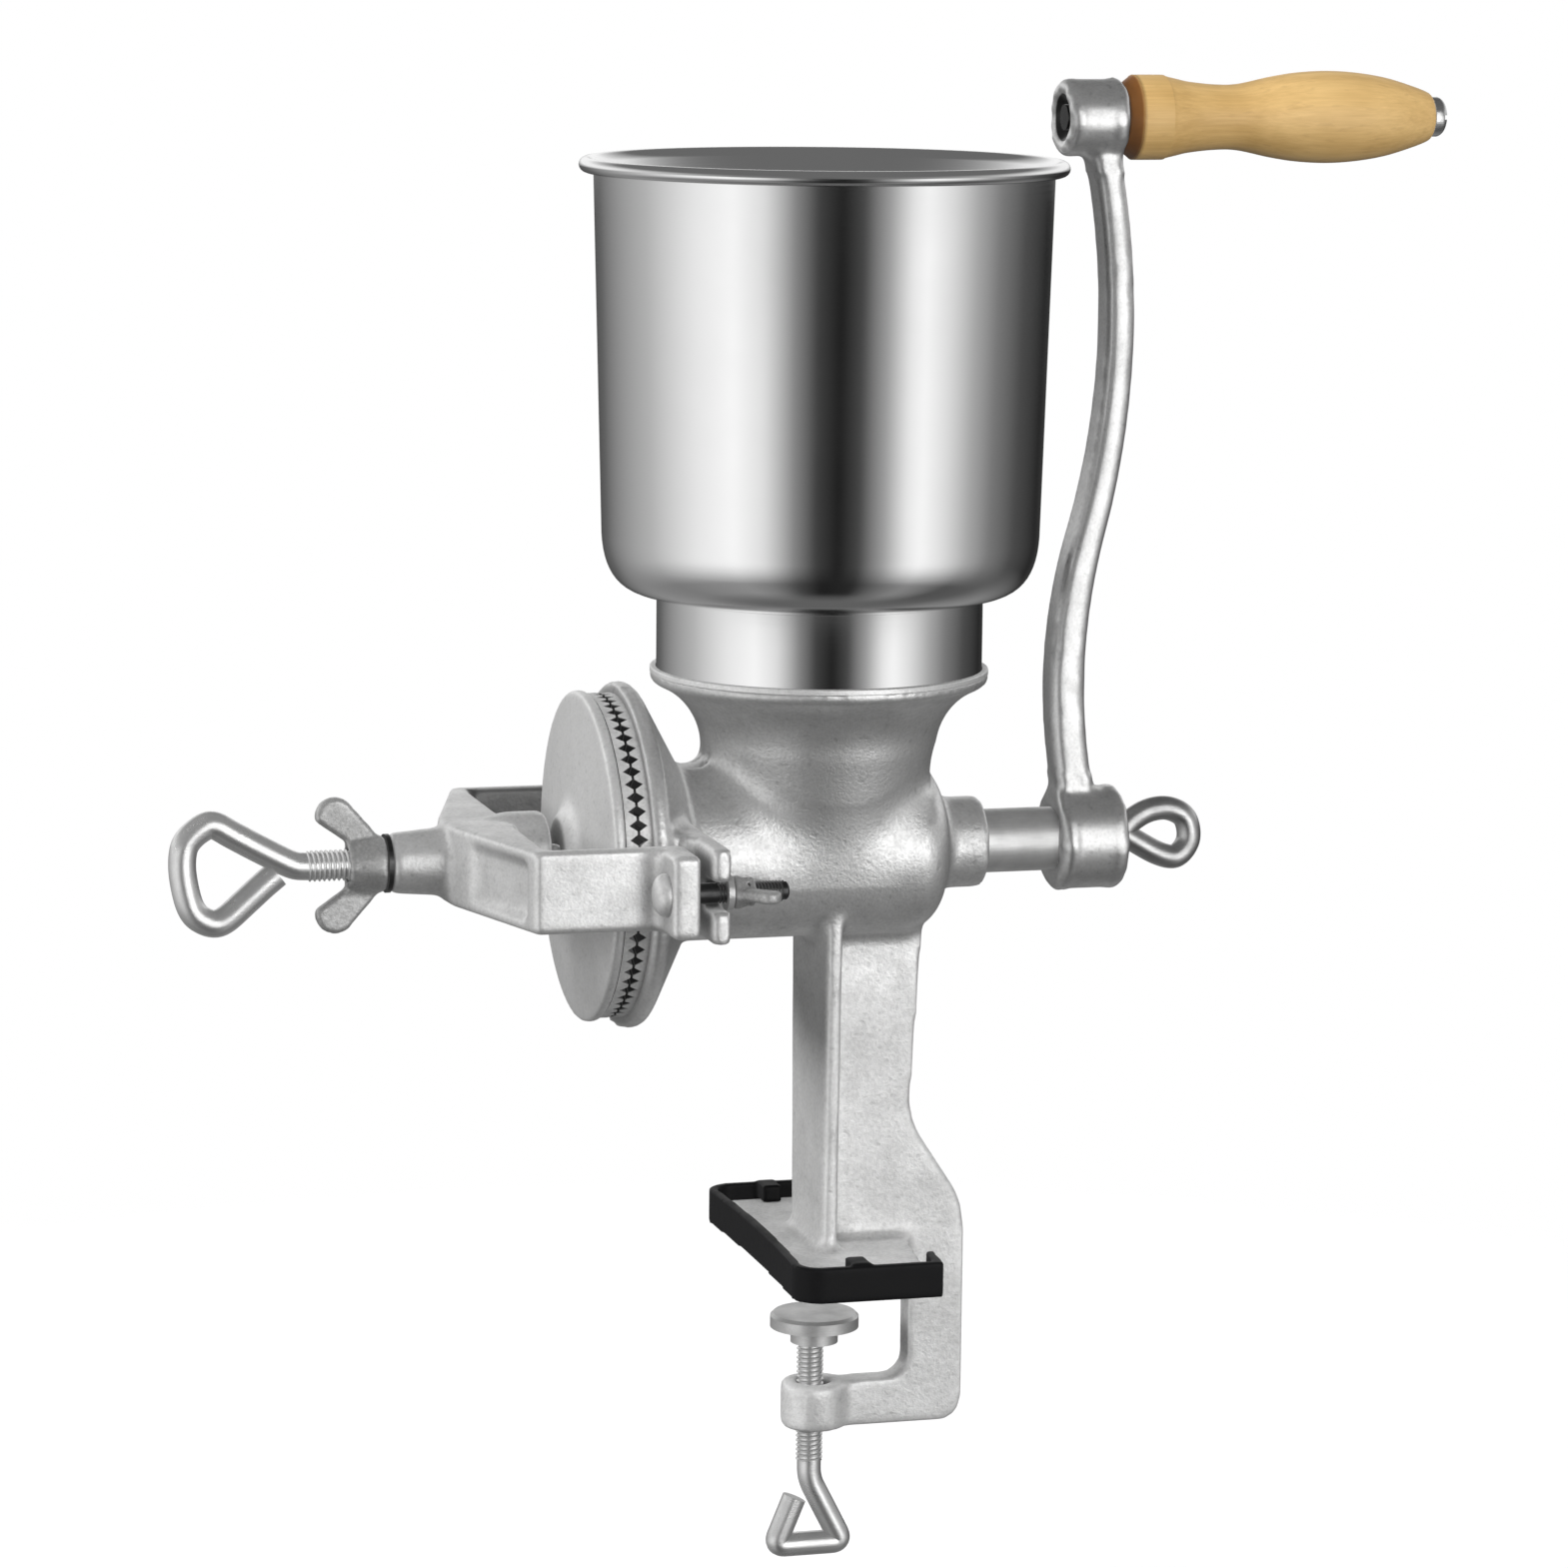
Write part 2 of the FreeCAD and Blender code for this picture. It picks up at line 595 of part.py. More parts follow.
def foot_corners(grow):
    """The foot plate's left corners, grown by a wall."""
    left = -(d.foot_left + grow)
    half = d.foot_half + grow
    return [(left, -half), (left, half)]


def foot_outline(drawing, grow):
    """The foot plate's outline, grown by a wall; its left edge is hollow."""
    left = -(d.foot_left + grow)
    right = d.foot_right + grow
    half = d.foot_half + grow
    bulge = d.foot_right + d.foot_bulge
    web = d.web_thick / 2
    corners = [(left, -half), (right, -half), (bulge, -web), (bulge, web), (right, half), (left, half)]
    return drawing.outline(corners, {5: (left + d.foot_waist, 0)})


def make_mill_body():
    """The main casting: barrel, neck, flange, lugs, leg, foot plate and clamp frame."""
    piece = Piece("mill_body", z=d.axis_height)
    spine_inner = d.spine_outer - d.spine_width
    web_left = -d.cap_reach
    leg_top = -d.barrel_radius / 2
    shoulder_low = d.shoulder_height - d.shoulder_drop
    flare_end = -d.barrel_radius - d.web_flare_drop
    spread = (d.web_top + d.web_flare / 4, (leg_top + flare_end) / 2)
    profile = [
        (web_left, leg_top), (d.web_top + d.web_flare, leg_top), (d.web_top, flare_end),
        (d.web_waist, above_axis(d.shoulder_height)), (d.spine_outer, above_axis(shoulder_low)),
        (d.spine_outer, above_axis(jaw_bottom)), (d.clamp_reach, above_axis(jaw_bottom)),
        (d.clamp_reach, above_axis(jaw_top)), (spine_inner, above_axis(jaw_top)),
        (spine_inner, above_axis(d.boot_floor)), (web_left, above_axis(d.boot_floor)),
    ]
    piece.pad(piece.draw("XZ").outline(profile, {1: spread}), d.web_thick, symmetric=True)
    for radius, rounded in ((d.shoulder_round, profile[3:5]), (d.jaw_round, [profile[5], profile[8]])):
        piece.fillet(radius, stands_at(rounded, 1, (0, 2)))

    plate = foot_outline(piece.draw("XY", above_axis(d.boot_floor)), 0)
    piece.pad(plate, d.foot_thick)
    piece.fillet(d.foot_round, stands_at(foot_corners(0), 2, (0, 1)))
    cap = [(-d.cap_half_foot, above_axis(d.boot_floor)), (d.cap_half_foot, above_axis(d.boot_floor)),
           (d.cap_half_top, leg_top), (-d.cap_half_top, leg_top)]
    piece.pad(piece.draw("YZ", web_left).outline(cap), d.cap_thick)
    boss = piece.draw("XY", above_axis(jaw_bottom)).circle(d.clamp_reach, 0, d.clamp_boss)
    piece.pad(boss, d.jaw_height)

    shoulder = d.barrel_end - d.barrel_round
    flange_back = flange_face + d.flange_thick
    turned = [(flange_face, 0), (flange_face, d.flange_radius),
              (flange_back, d.flange_radius), (flange_face + d.cone_length, d.barrel_radius),
              (shoulder, d.barrel_radius), (d.barrel_end, d.barrel_radius - d.barrel_round),
              (d.barrel_end, bearing_radius), (bearing_end, bearing_radius), (bearing_end, 0)]
    knuckle = (shoulder + d.barrel_round * DIAGONAL,
               d.barrel_radius - d.barrel_round + d.barrel_round * DIAGONAL)
    piece.revolve(piece.draw("XZ").outline(turned, {4: knuckle}))

    lip_low = d.neck_top - d.lip_height
    neck = [(0, 0), (neck_foot, 0), (d.waist_radius, d.waist_height), (lip_radius, lip_low),
            (lip_radius, d.neck_top), (0, d.neck_top)]
    flare_out, flare_up = 0.3, 0.62
    flare = (d.waist_radius + (lip_radius - d.waist_radius) * flare_out,
             d.waist_height + (lip_low - d.waist_height) * flare_up)
    piece.revolve(piece.draw("XZ").outline(neck, {2: flare}), "V_Axis")

    lugs = piece.draw("YZ", lug_face)
    for side in (-1, 1):
        root = side * d.lug_root
        tip = side * lug_tip
        lugs.outline([(root, -d.lug_half), (tip, -d.lug_half), (tip, d.lug_half), (root, d.lug_half)])
    piece.pad(lugs, d.lug_thick)
    rib_root = d.flange_radius - d.rib_inset
    for height in (-d.lug_half, d.lug_half - d.rib_thick):
        ribs = piece.draw("XY", height)
        for side in (-1, 1):
            ribs.outline([(flange_back, side * d.lug_root), (flange_back, side * rib_root),
                          (lug_face, side * arm_inner), (lug_face, side * d.lug_root)])
        piece.pad(ribs, d.rib_thick)

    bore = [(flange_face - OVER, 0), (flange_face - OVER, bore_radius), (bore_end, bore_radius),
            (bore_end, shaft_bore), (bearing_end + OVER, shaft_bore), (bearing_end + OVER, 0)]
    piece.groove(piece.draw("XZ").outline(bore))
    seat = d.neck_top - d.seat_depth
    throat = [(0, 0), (neck_foot - d.neck_wall - d.barrel_wall, 0),
              (d.waist_radius - d.neck_wall, d.waist_height), (socket_radius - d.seat_ledge, seat),
              (socket_radius, seat), (socket_radius, d.neck_top + OVER), (0, d.neck_top + OVER)]
    hollow = (flare[0] - d.neck_wall, flare[1] + d.neck_inset * 2)
    piece.groove(piece.draw("XZ").outline(throat, {2: hollow}), "V_Axis")

    slots = piece.draw("YZ", lug_face - OVER)
    half = d.bolt_radius + d.slot_clear
    for side in (-1, 1):
        floor = side * (bolt_offset - half)
        mouth = side * (lug_tip + OVER)
        slots.outline([(floor, -half), (mouth, -half), (mouth, half), (floor, half)])
    piece.pocket(slots, d.lug_thick + 2 * OVER)
    hole = piece.draw("XY", above_axis(jaw_bottom) - OVER)
    hole.circle(d.clamp_reach, 0, d.clamp_radius + d.run_clear)
    piece.pocket(hole, d.jaw_height + 2 * OVER)
    tapped = piece.draw("YZ", flange_face - OVER).circle(0, burr_screw_ring, d.burr_screw_radius)
    first = piece.pocket(tapped, d.burr_screw_bite + OVER)
    piece.around_x([first], d.burr_screw_count)


def make_foot_boot():
    """The rubber boot: a floor, a rim that is open towards the clamp's spine, and two tabs over the plate."""
    piece = Piece("foot_boot")
    piece.pad(foot_outline(piece.draw("XY"), d.boot_wall), boot_top)
    piece.fillet(d.foot_round + d.boot_wall, stands_at(foot_corners(d.boot_wall), 2, (0, 1)))
    inside = foot_outline(piece.draw("XY", d.boot_floor), 0)
    piece.pocket(inside, boot_top)
    piece.fillet(d.foot_round, stands_at(foot_corners(0), 2, (0, 1)))
    gap = d.foot_half - d.boot_hook
    far = d.foot_right + d.foot_bulge + d.boot_wall
    opening = piece.draw("XY", d.boot_floor)
    opening.outline([(0, -gap), (far, -gap), (far, gap), (0, gap)])
    piece.pocket(opening, boot_top)
    spine = piece.draw("XY", -OVER)
    spine.outline([(d.foot_right, -gap), (far, -gap), (far, gap), (d.foot_right, gap)])
    piece.pocket(spine, boot_top + 2 * OVER)
    tabs = piece.draw("XY", plate_top)
    half = d.boot_tab / 2
    near = d.foot_half - d.boot_tab_reach
    far = d.foot_half + d.boot_wall / 2
    for side in (-1, 1):
        tabs.outline([(-half, side * near), (half, side * near), (half, side * far), (-half, side * far)])
    piece.pad(tabs, d.boot_rise + d.boot_tab_rise)


def make_yoke():
    """The bridge that carries the adjusting screw: boss, delta web, two arms and two ears."""
    piece = Piece("yoke", z=d.axis_height)
    half_plan = [(boss_root, d.boss_radius), (yoke_bend, arm_outer), (ear_face - d.ear_flare, arm_outer),
                 (ear_face, arm_outer + d.ear_step), (ear_face, lug_tip), (ear_back, lug_tip),
                 (ear_back, arm_inner), (yoke_inner, arm_inner)]
    other_half = [(x, -y) for x, y in reversed(half_plan)]
    piece.pad(piece.draw("XY").outline(half_plan + other_half), d.yoke_half * 2, symmetric=True)
    boss = [(boss_face, 0), (boss_face, d.boss_radius), (boss_root, d.boss_root_radius),
            (yoke_inner, d.boss_inner_radius), (boss_inner, d.boss_inner_radius), (boss_inner, 0)]
    piece.revolve(piece.draw("XZ").outline(boss))
    slant = arm_outer - d.boss_radius
    panel = piece.draw("XY")
    for side in (-1, 1):
        shape = []
        for share, bevel in ((d.panel_near, 1), (d.panel_far, -1)):
            x, y = boss_root + d.web_rise * share, d.boss_radius + slant * share
            shape.append([(x - d.panel_depth, y), (x + d.panel_depth, y + bevel * d.panel_bevel)])
        panel.outline([(x, side * y) for x, y in (shape[0][0], shape[1][0], shape[1][1], shape[0][1])])
    piece.pocket(panel, (d.yoke_half - d.panel_border) * 2, symmetric=True)
    thread = [(boss_face - OVER, 0), (boss_face - OVER, screw_bore), (boss_inner + OVER, screw_bore),
              (boss_inner + OVER, 0)]
    piece.groove(piece.draw("XZ").outline(thread))
    holes = piece.draw("YZ", ear_face - OVER)
    for side in (-1, 1):
        holes.circle(side * bolt_offset, 0, bolt_bore)
    piece.pocket(holes, d.ear_thick + 2 * OVER)


def make_draw_bolt(label, side):
    """A round-headed bolt through an ear of the yoke and a slot of the body."""
    piece = Piece(label, y=side * bolt_offset, z=d.axis_height)
    rim = ear_face - d.bolt_rim
    top = ear_face - d.bolt_dome
    turned = [(bolt_tail, 0), (bolt_tail, d.bolt_radius), (ear_face, d.bolt_radius), (ear_face, d.bolt_head),
              (rim, d.bolt_head), (top, d.bolt_flat), (top, 0)]
    crown = (rim + (top - rim) * DIAGONAL, d.bolt_flat + (d.bolt_head - d.bolt_flat) * DIAGONAL)
    piece.revolve(piece.draw("XZ").outline(turned, {4: crown}))


def make_washer(label, x, y, thick, radius, bore):
    """A flat washer about a line along X."""
    piece = Piece(label, x=x, y=y, z=d.axis_height)
    piece.revolve(piece.draw("XZ").outline([(0, bore), (thick, bore), (thick, radius), (0, radius)]))


def make_wing_nut(label, x, y, turn_axis, turn, base, crown, length, span, sweep, wing, bore):
    """A wing nut whose face is at its place, with its hub along its own X axis."""
    piece = Piece(label, x=x, y=y, z=d.axis_height, turn_axis=turn_axis, turn=turn)
    hub = [(0, 0), (0, base), (length / 4, base), (length, crown), (length, 0)]
    piece.revolve(piece.draw("XZ").outline(hub))
    wings = piece.draw("XZ")
    foot, head = length * 0.1, length * 0.95
    lobe_low, lobe_tip, lobe_bend = sweep * 0.55, span * 0.7, (sweep * 0.93, span * 0.97)
    for side in (-1, 1):
        root, low, high = side * (bore + crown) / 2, side * base * 0.9, side * crown * 0.9
        wings.outline([(foot, root), (foot, low), (lobe_low, side * span), (sweep, side * lobe_tip),
                       (head, high), (head, root)],
                      {2: (lobe_bend[0], side * lobe_bend[1])})
    piece.pad(wings, wing, symmetric=True)
    piece.groove(piece.draw("XZ").outline(
        [(-OVER, 0), (-OVER, bore), (length + OVER, bore), (length + OVER, 0)]))


def make_burr(label, back, face, bore):
    """A burr plate between its back and its grooved face, with sunk holes for its screws."""
    piece = Piece(label, z=d.axis_height)
    outward = 1 if face.value > back.value else -1
    piece.revolve(piece.draw("XZ").outline(
        [(back, bore), (face, bore), (face, burr_radius), (back, burr_radius)]))
    tooth = piece.draw("XY", tooth_start)
    rise = outward * d.burr_gap / 2
    tooth.outline([(face + rise, -d.tooth_half), (face + rise, d.tooth_half),
                   (face - outward * d.tooth_depth, 0)])
    piece.around_x([piece.pocket(tooth, d.tooth_length + OVER)], d.tooth_count)
    left = face if outward < 0 else back
    hole = piece.draw("YZ", left - OVER).circle(0, burr_screw_ring, d.burr_screw_radius + d.run_clear)
    sink_left = face - OVER if outward < 0 else face - d.burr_screw_sink
    sink = piece.draw("YZ", sink_left).circle(0, burr_screw_ring, d.burr_screw_head + d.run_clear)
    drilled = [piece.pocket(hole, d.burr_thick + 2 * OVER), piece.pocket(sink, d.burr_screw_sink + OVER)]
    piece.around_x(drilled, d.burr_screw_count)


def make_burr_screws(label, face, outward):
    """The cheese-head screws of one burr, as separate solids."""
    piece = Piece(label, z=d.axis_height, many=True)
    seat = face - outward * d.burr_screw_sink
    crown = face - outward * d.burr_screw_below
    tip = seat - outward * (d.burr_thick - d.burr_screw_sink + d.burr_screw_bite)
    head_left, head_right = (seat, crown) if outward > 0 else (crown, seat)
    shank_left, shank_right = (tip, seat) if outward > 0 else (seat, tip)
    head = piece.draw("YZ", head_left).circle(0, burr_screw_ring, d.burr_screw_head)
    shank = piece.draw("YZ", shank_left).circle(0, burr_screw_ring, d.burr_screw_radius)
    parts = [piece.pad(head, head_right - head_left), piece.pad(shank, shank_right - shank_left)]
    slot = piece.draw("XY", burr_screw_ring - d.burr_screw_slot / 2)
    floor = crown - outward * d.burr_screw_slot
    reach = d.burr_screw_head + OVER
    above = crown + outward * OVER
    slot.outline([(floor, -reach), (above, -reach), (above, reach), (floor, reach)])
    parts.append(piece.pocket(slot, d.burr_screw_slot))
    piece.around_x(parts, d.burr_screw_count)


def make_rotating_disc():
    """The dished carrier disc: ball seat in its outer hub, pin slot in its inner hub."""
    piece = Piece("rotating_disc", z=d.axis_height)
    bore = d.journal_radius + d.run_clear
    disc_radius = burr_radius + d.disc_margin
    seat = d.ball_radius + d.free_clear / 2
    turned = [(spigot_end, bore), (spigot_end, spigot_radius), (disc_inner, spigot_radius),
              (disc_inner, disc_radius), (disc_outer, disc_radius),
              (disc_outer - d.disc_dish, d.hub_foot), (hub_end, d.hub_radius), (hub_end, seat),
              (hub_end + d.ball_sink, seat), (hub_end + d.ball_sink, 0), (journal_floor, 0),
              (journal_floor, bore)]
    swell = (disc_outer - d.disc_dish - d.hub_length / 4, d.hub_radius + (d.hub_foot - d.hub_radius) / 3)
    piece.revolve(piece.draw("XZ").outline(turned, {5: swell}))
    half = d.pin_radius + d.run_clear
    slot_floor = pin_place - d.pin_radius - d.free_clear
    slot = piece.draw("XY").outline(
        [(slot_floor, -half), (spigot_end + OVER, -half), (spigot_end + OVER, half), (slot_floor, half)])
    piece.pocket(slot, (spigot_radius + OVER) * 2, symmetric=True)
    tapped = piece.draw("YZ", disc_inner - d.burr_screw_bite - d.free_clear)
    tapped.circle(0, burr_screw_ring, d.burr_screw_radius + d.run_clear)
    piece.around_x([piece.pocket(tapped, d.burr_screw_bite * 2)], d.burr_screw_count)


def make_feed_screw():
    """The feed screw: journal, core with its helical flight, bearing shaft and square end."""
    piece = Piece("feed_screw", z=d.axis_height)
    core_start = spigot_end + d.free_clear
    core_end = bore_end - d.free_clear
    core = [(journal_end, 0), (journal_end, d.journal_radius), (core_start, d.journal_radius),
            (core_start, d.core_radius), (core_end, d.core_radius), (core_end, d.shaft_radius),
            (crank_face, d.shaft_radius), (crank_face, 0)]
    piece.revolve(piece.draw("XZ").outline(core))
    edge = bore_radius - d.flight_gap
    root = d.core_radius - OVER
    blade_end = core_start + d.flight_thick
    blade = piece.draw("XZ").outline(
        [(core_start, root), (blade_end, root), (blade_end, edge), (core_start, edge)])
    flight = piece.feature("AdditiveHelix", blade)
    flight.ReferenceAxis = (blade.sketch, ["H_Axis"])
    flight.Mode = "pitch-height-angle"
    bind(flight, "Pitch", d.flight_pitch)
    bind(flight, "Height", core_end - blade_end)
    side = d.square_half
    square = piece.draw("YZ", crank_face)
    square.outline([(-side, -side), (side, -side), (side, side), (-side, side)])
    piece.pad(square, d.square_length)
    thread = d.eye_stem_radius + d.run_clear
    depth = square_end - d.eye_stem - d.free_clear
    piece.groove(piece.draw("XZ").outline(
        [(depth, 0), (depth, thread), (square_end + OVER, thread), (square_end + OVER, 0)]))
    hole = piece.draw("XY").circle(pin_place, 0, d.pin_radius + d.run_clear / 2)
    piece.pocket(hole, (d.journal_radius + OVER) * 2, symmetric=True)


def make_drive_pin():
    """The cross pin of the feed screw."""
    piece = Piece("drive_pin", z=d.axis_height)
    round_bar = piece.draw("XY").circle(pin_place, 0, d.pin_radius)
    piece.pad(round_bar, (spigot_radius - d.free_clear) * 2, symmetric=True)


def make_thrust_ball():
    """The steel ball between the adjusting screw and the disc."""
    piece = Piece("thrust_ball", x=ball_middle, z=d.axis_height)
    radius = d.ball_radius
    piece.revolve(piece.draw("XZ").outline([(-radius, 0), (radius, 0)], {0: (0, radius)}))


def make_crank_arm():
    """The S-shaped crank with a boss at each end."""
    piece = Piece("crank_arm", z=d.axis_height)
    piece.pad(piece.draw("YZ", crank_face).circle(0, 0, d.crank_boss), crank_end - crank_face)
    half_mid = (d.arm_half_low + d.arm_half_top) / 2
    low = d.crank_boss / 2
    top = d.crank_length - d.crank_top_boss / 2
    low_x, dip_x, mid_x = crank_face + d.arm_low, crank_face + d.arm_dip, crank_face + d.arm_mid
    crest_x, top_x = crank_face + d.arm_crest, crank_top_left + d.arm_top
    corners = [(low_x - d.arm_half_low, low), (low_x + d.arm_half_low, low),
               (mid_x + half_mid, d.arm_mid_height), (top_x + d.arm_half_top, top),
               (top_x - d.arm_half_top, top), (mid_x - half_mid, d.arm_mid_height)]
    bends = {1: (dip_x + d.arm_half_low, d.arm_dip_height),
             2: (crest_x + d.arm_half_top, d.arm_crest_height),
             4: (crest_x - d.arm_half_top, d.arm_crest_height),
             5: (dip_x - d.arm_half_low, d.arm_dip_height)}
    piece.pad(piece.draw("XZ").outline(corners, bends), d.crank_width, symmetric=True)
    top_boss = piece.draw("YZ", crank_top_left).circle(0, d.crank_length, d.crank_top_boss)
    piece.pad(top_boss, d.crank_top_length)
    side = d.square_half + d.square_clear
    socket = piece.draw("YZ", crank_face - OVER)
    socket.outline([(-side, -side), (side, -side), (side, side), (-side, side)])
    piece.pocket(socket, d.square_length + d.free_clear + OVER)
    through = piece.draw("YZ", square_end).circle(0, 0, d.eye_stem_radius + d.free_clear)
    piece.pocket(through, d.crank_end_wall + OVER)
    recess = piece.draw("YZ", crank_top_left - OVER).circle(0, d.crank_length, d.recess_radius)
    piece.pocket(recess, d.recess_depth + OVER)
    thread = piece.draw("YZ", crank_top_left).circle(0, d.crank_length, d.spindle_radius + d.run_clear)
    piece.pocket(thread, d.crank_top_length + OVER)


def make_grip():
    """The turned wooden grip with its bore."""
    piece = Piece("grip", z=grip_height)
    bore = d.spindle_radius + d.spindle_clear
    bevel_end = grip_start + d.grip_bevel
    waist = grip_start + d.grip_waist_place
    tail = grip_stop - d.grip_tail_length
    turned = [(grip_start, bore), (grip_start, d.grip_collar - d.grip_bevel), (bevel_end, d.grip_collar),
              (waist, d.grip_waist), (tail, d.grip_tail), (grip_stop, d.grip_end), (grip_stop, bore)]
    bends = {2: ((bevel_end + waist) / 2, (d.grip_collar + d.grip_waist) / 2 + d.grip_swell),
             3: ((waist + tail) / 2, d.grip_belly),
             4: (grip_stop - d.grip_tail_length / 4, (d.grip_end + d.grip_tail) / 2)}
    piece.revolve(piece.draw("XZ").outline(turned, bends))


def make_grip_spindle():
    """The bolt that the grip turns on, with a slotted round head."""
    piece = Piece("grip_spindle", z=grip_height)
    start = crank_top_left + d.recess_depth / 3
    seat = grip_stop + d.free_clear
    end = seat + d.spindle_head_length
    rim = (seat + end) / 2
    turned = [(start, 0), (start, d.spindle_radius), (seat, d.spindle_radius), (seat, d.spindle_head),
              (rim, d.spindle_head), (end, d.spindle_head / 2), (end, 0)]
    crown = (rim + (end - rim) * DIAGONAL, d.spindle_head / 2 * (1 + DIAGONAL))
    piece.revolve(piece.draw("XZ").outline(turned, {4: crown}))
    half = d.spindle_slot / 2
    reach = d.spindle_head + OVER
    slot = piece.draw("YZ", end - d.spindle_slot).outline(
        [(-reach, -half), (reach, -half), (reach, half), (-reach, half)])
    piece.pocket(slot, d.spindle_slot + OVER)


def make_eye_screw(label, x, z, turn_axis, turn, stem, wire, loop, rise, drop, lean, bend):
    """A screw bent into an eye: its turned stem ends at its own X = 0, where the eye starts."""
    piece = Piece(label, x=x, z=z, turn_axis=turn_axis, turn=turn)
    piece.revolve(piece.draw("XZ").outline(stem))
    start = -wire * 1.5
    section = piece.draw("YZ", start).circle(0, 0, wire)
    closing = (wire * 1.6, -wire * 1.95)
    path = piece.draw("XZ").bent_path(
        [(start, 0), (wire / 2, 0), (loop, rise), (loop - lean, -drop), closing], bend)
    piece.pipe(section, path)


def make_hopper_collar():
    """The sheet sleeve under the bowl, with a flange turned in at its top."""
    piece = Piece("hopper_collar", z=seat_height)
    inner = d.collar_radius - d.sheet_thick
    lip = d.collar_radius - d.collar_flange
    low = d.collar_height - d.sheet_thick
    piece.revolve(piece.draw("XZ").outline(
        [(inner, 0), (d.collar_radius, 0), (d.collar_radius, d.collar_height), (lip, d.collar_height),
         (lip, low), (inner, low)]), "V_Axis")


def make_hopper_bowl():
    """The sheet bowl: floor ring, rounded bottom, slightly flared wall and rolled rim."""
    piece = Piece("hopper_bowl", z=seat_height + d.collar_height)
    thick = d.sheet_thick
    mouth = d.collar_radius - d.collar_flange
    rim_low = d.bowl_height - d.rim_height
    bowl_floor = d.collar_radius + d.floor_margin
    width = d.bowl_low - bowl_floor
    rise = d.bowl_corner
    outer_bend = (bowl_floor + width * DIAGONAL, rise - rise * DIAGONAL)
    inner_bend = (bowl_floor + (width - thick) * DIAGONAL, rise - (rise - thick) * DIAGONAL)
    profile = [(mouth, 0), (bowl_floor, 0), (d.bowl_low, d.bowl_corner), (d.bowl_top, rim_low),
               (d.bowl_top, d.bowl_height), (d.bowl_top - thick, d.bowl_height - thick),
               (d.bowl_low - thick, d.bowl_corner), (bowl_floor, thick), (mouth, thick)]
    roll = (rim_radius, rim_low + d.rim_height / 2)
    piece.revolve(piece.draw("XZ").outline(profile, {1: outer_bend, 3: roll, 6: inner_bend}), "V_Axis")


def make_clamp_pad():
    """The pressure pad, whose socket takes the clamp screw's tip."""
    piece = Piece("clamp_pad", x=d.clamp_reach)
    bore = d.clamp_tip + d.run_clear
    socket_end = pad_bottom - d.pad_socket_length
    edge = d.pad_edge
    profile = [(0, pad_top), (d.pad_radius - edge, pad_top), (d.pad_radius, pad_top - edge),
               (d.pad_radius, pad_bottom), (d.pad_socket, pad_bottom), (d.pad_socket, socket_end),
               (bore, socket_end), (bore, pad_bottom), (0, pad_bottom)]
    piece.revolve(piece.draw("XZ").outline(profile), "V_Axis")


def make_screws():
    """The three eye screws."""
    tip = screw_root - screw_tip
    plain = [(tip, 0), (tip, d.screw_radius), (0, d.screw_radius), (0, 0)]
    make_eye_screw("adjusting_screw", screw_root, d.axis_height, (0, 0, 1), 180, plain,
                   d.screw_wire, d.screw_loop, d.screw_rise, d.screw_drop, d.screw_lean, d.screw_bend)
    collar_end = d.eye_collar_length
    gap = d.face_clear
    tip = -(d.eye_stem + d.crank_end_wall)
    collared = [(tip, 0), (tip, d.eye_stem_radius), (gap, d.eye_stem_radius),
                (gap, d.eye_collar), (collar_end, d.eye_collar), (collar_end, 0)]
    make_eye_screw("crank_eye_screw", crank_end, d.axis_height, (0, 0, 1), 0, collared,
                   d.eye_wire, d.eye_loop, d.eye_half, d.eye_half, 0, d.eye_bend)
    tip = clamp_root - clamp_tip_end
    neck = tip + d.clamp_tip_length
    stepped = [(tip, 0), (tip, d.clamp_tip), (neck, d.clamp_tip), (neck, d.clamp_radius),
               (0, d.clamp_radius), (0, 0)]
    make_eye_screw("clamp_screw", d.clamp_reach, clamp_root, (0, 1, 0), 90, stepped,
                   d.clamp_wire, d.clamp_loop, d.clamp_half, d.clamp_half, 0, d.clamp_bend)


def make_yoke_fasteners():
    """The draw bolts with their washers and wing nuts, and the lock nut with its washer."""
    for side, name in ((-1, "front"), (1, "rear")):
        make_draw_bolt(f"{name}_draw_bolt", side)
        make_washer(f"{name}_draw_washer", lug_back, side * bolt_offset, d.washer_thick, d.washer_radius,
                    bolt_bore)
        make_wing_nut(f"{name}_wing_nut", nut_start, side * bolt_offset, (1, 0, 0), 90, d.small_nut_base,
                      d.small_nut_crown, d.small_nut_length, d.small_nut_span, d.small_nut_sweep,
                      d.small_nut_wing, bolt_bore)
    make_washer("lock_washer", lock_back, 0, d.lock_thick, d.lock_radius, screw_bore)
    make_wing_nut("lock_wing_nut", lock_nut_start, 0, (0, 0, 1), 180, d.nut_base, d.nut_crown,
                  d.nut_length, d.nut_span, d.nut_sweep, d.nut_wing, screw_bore)


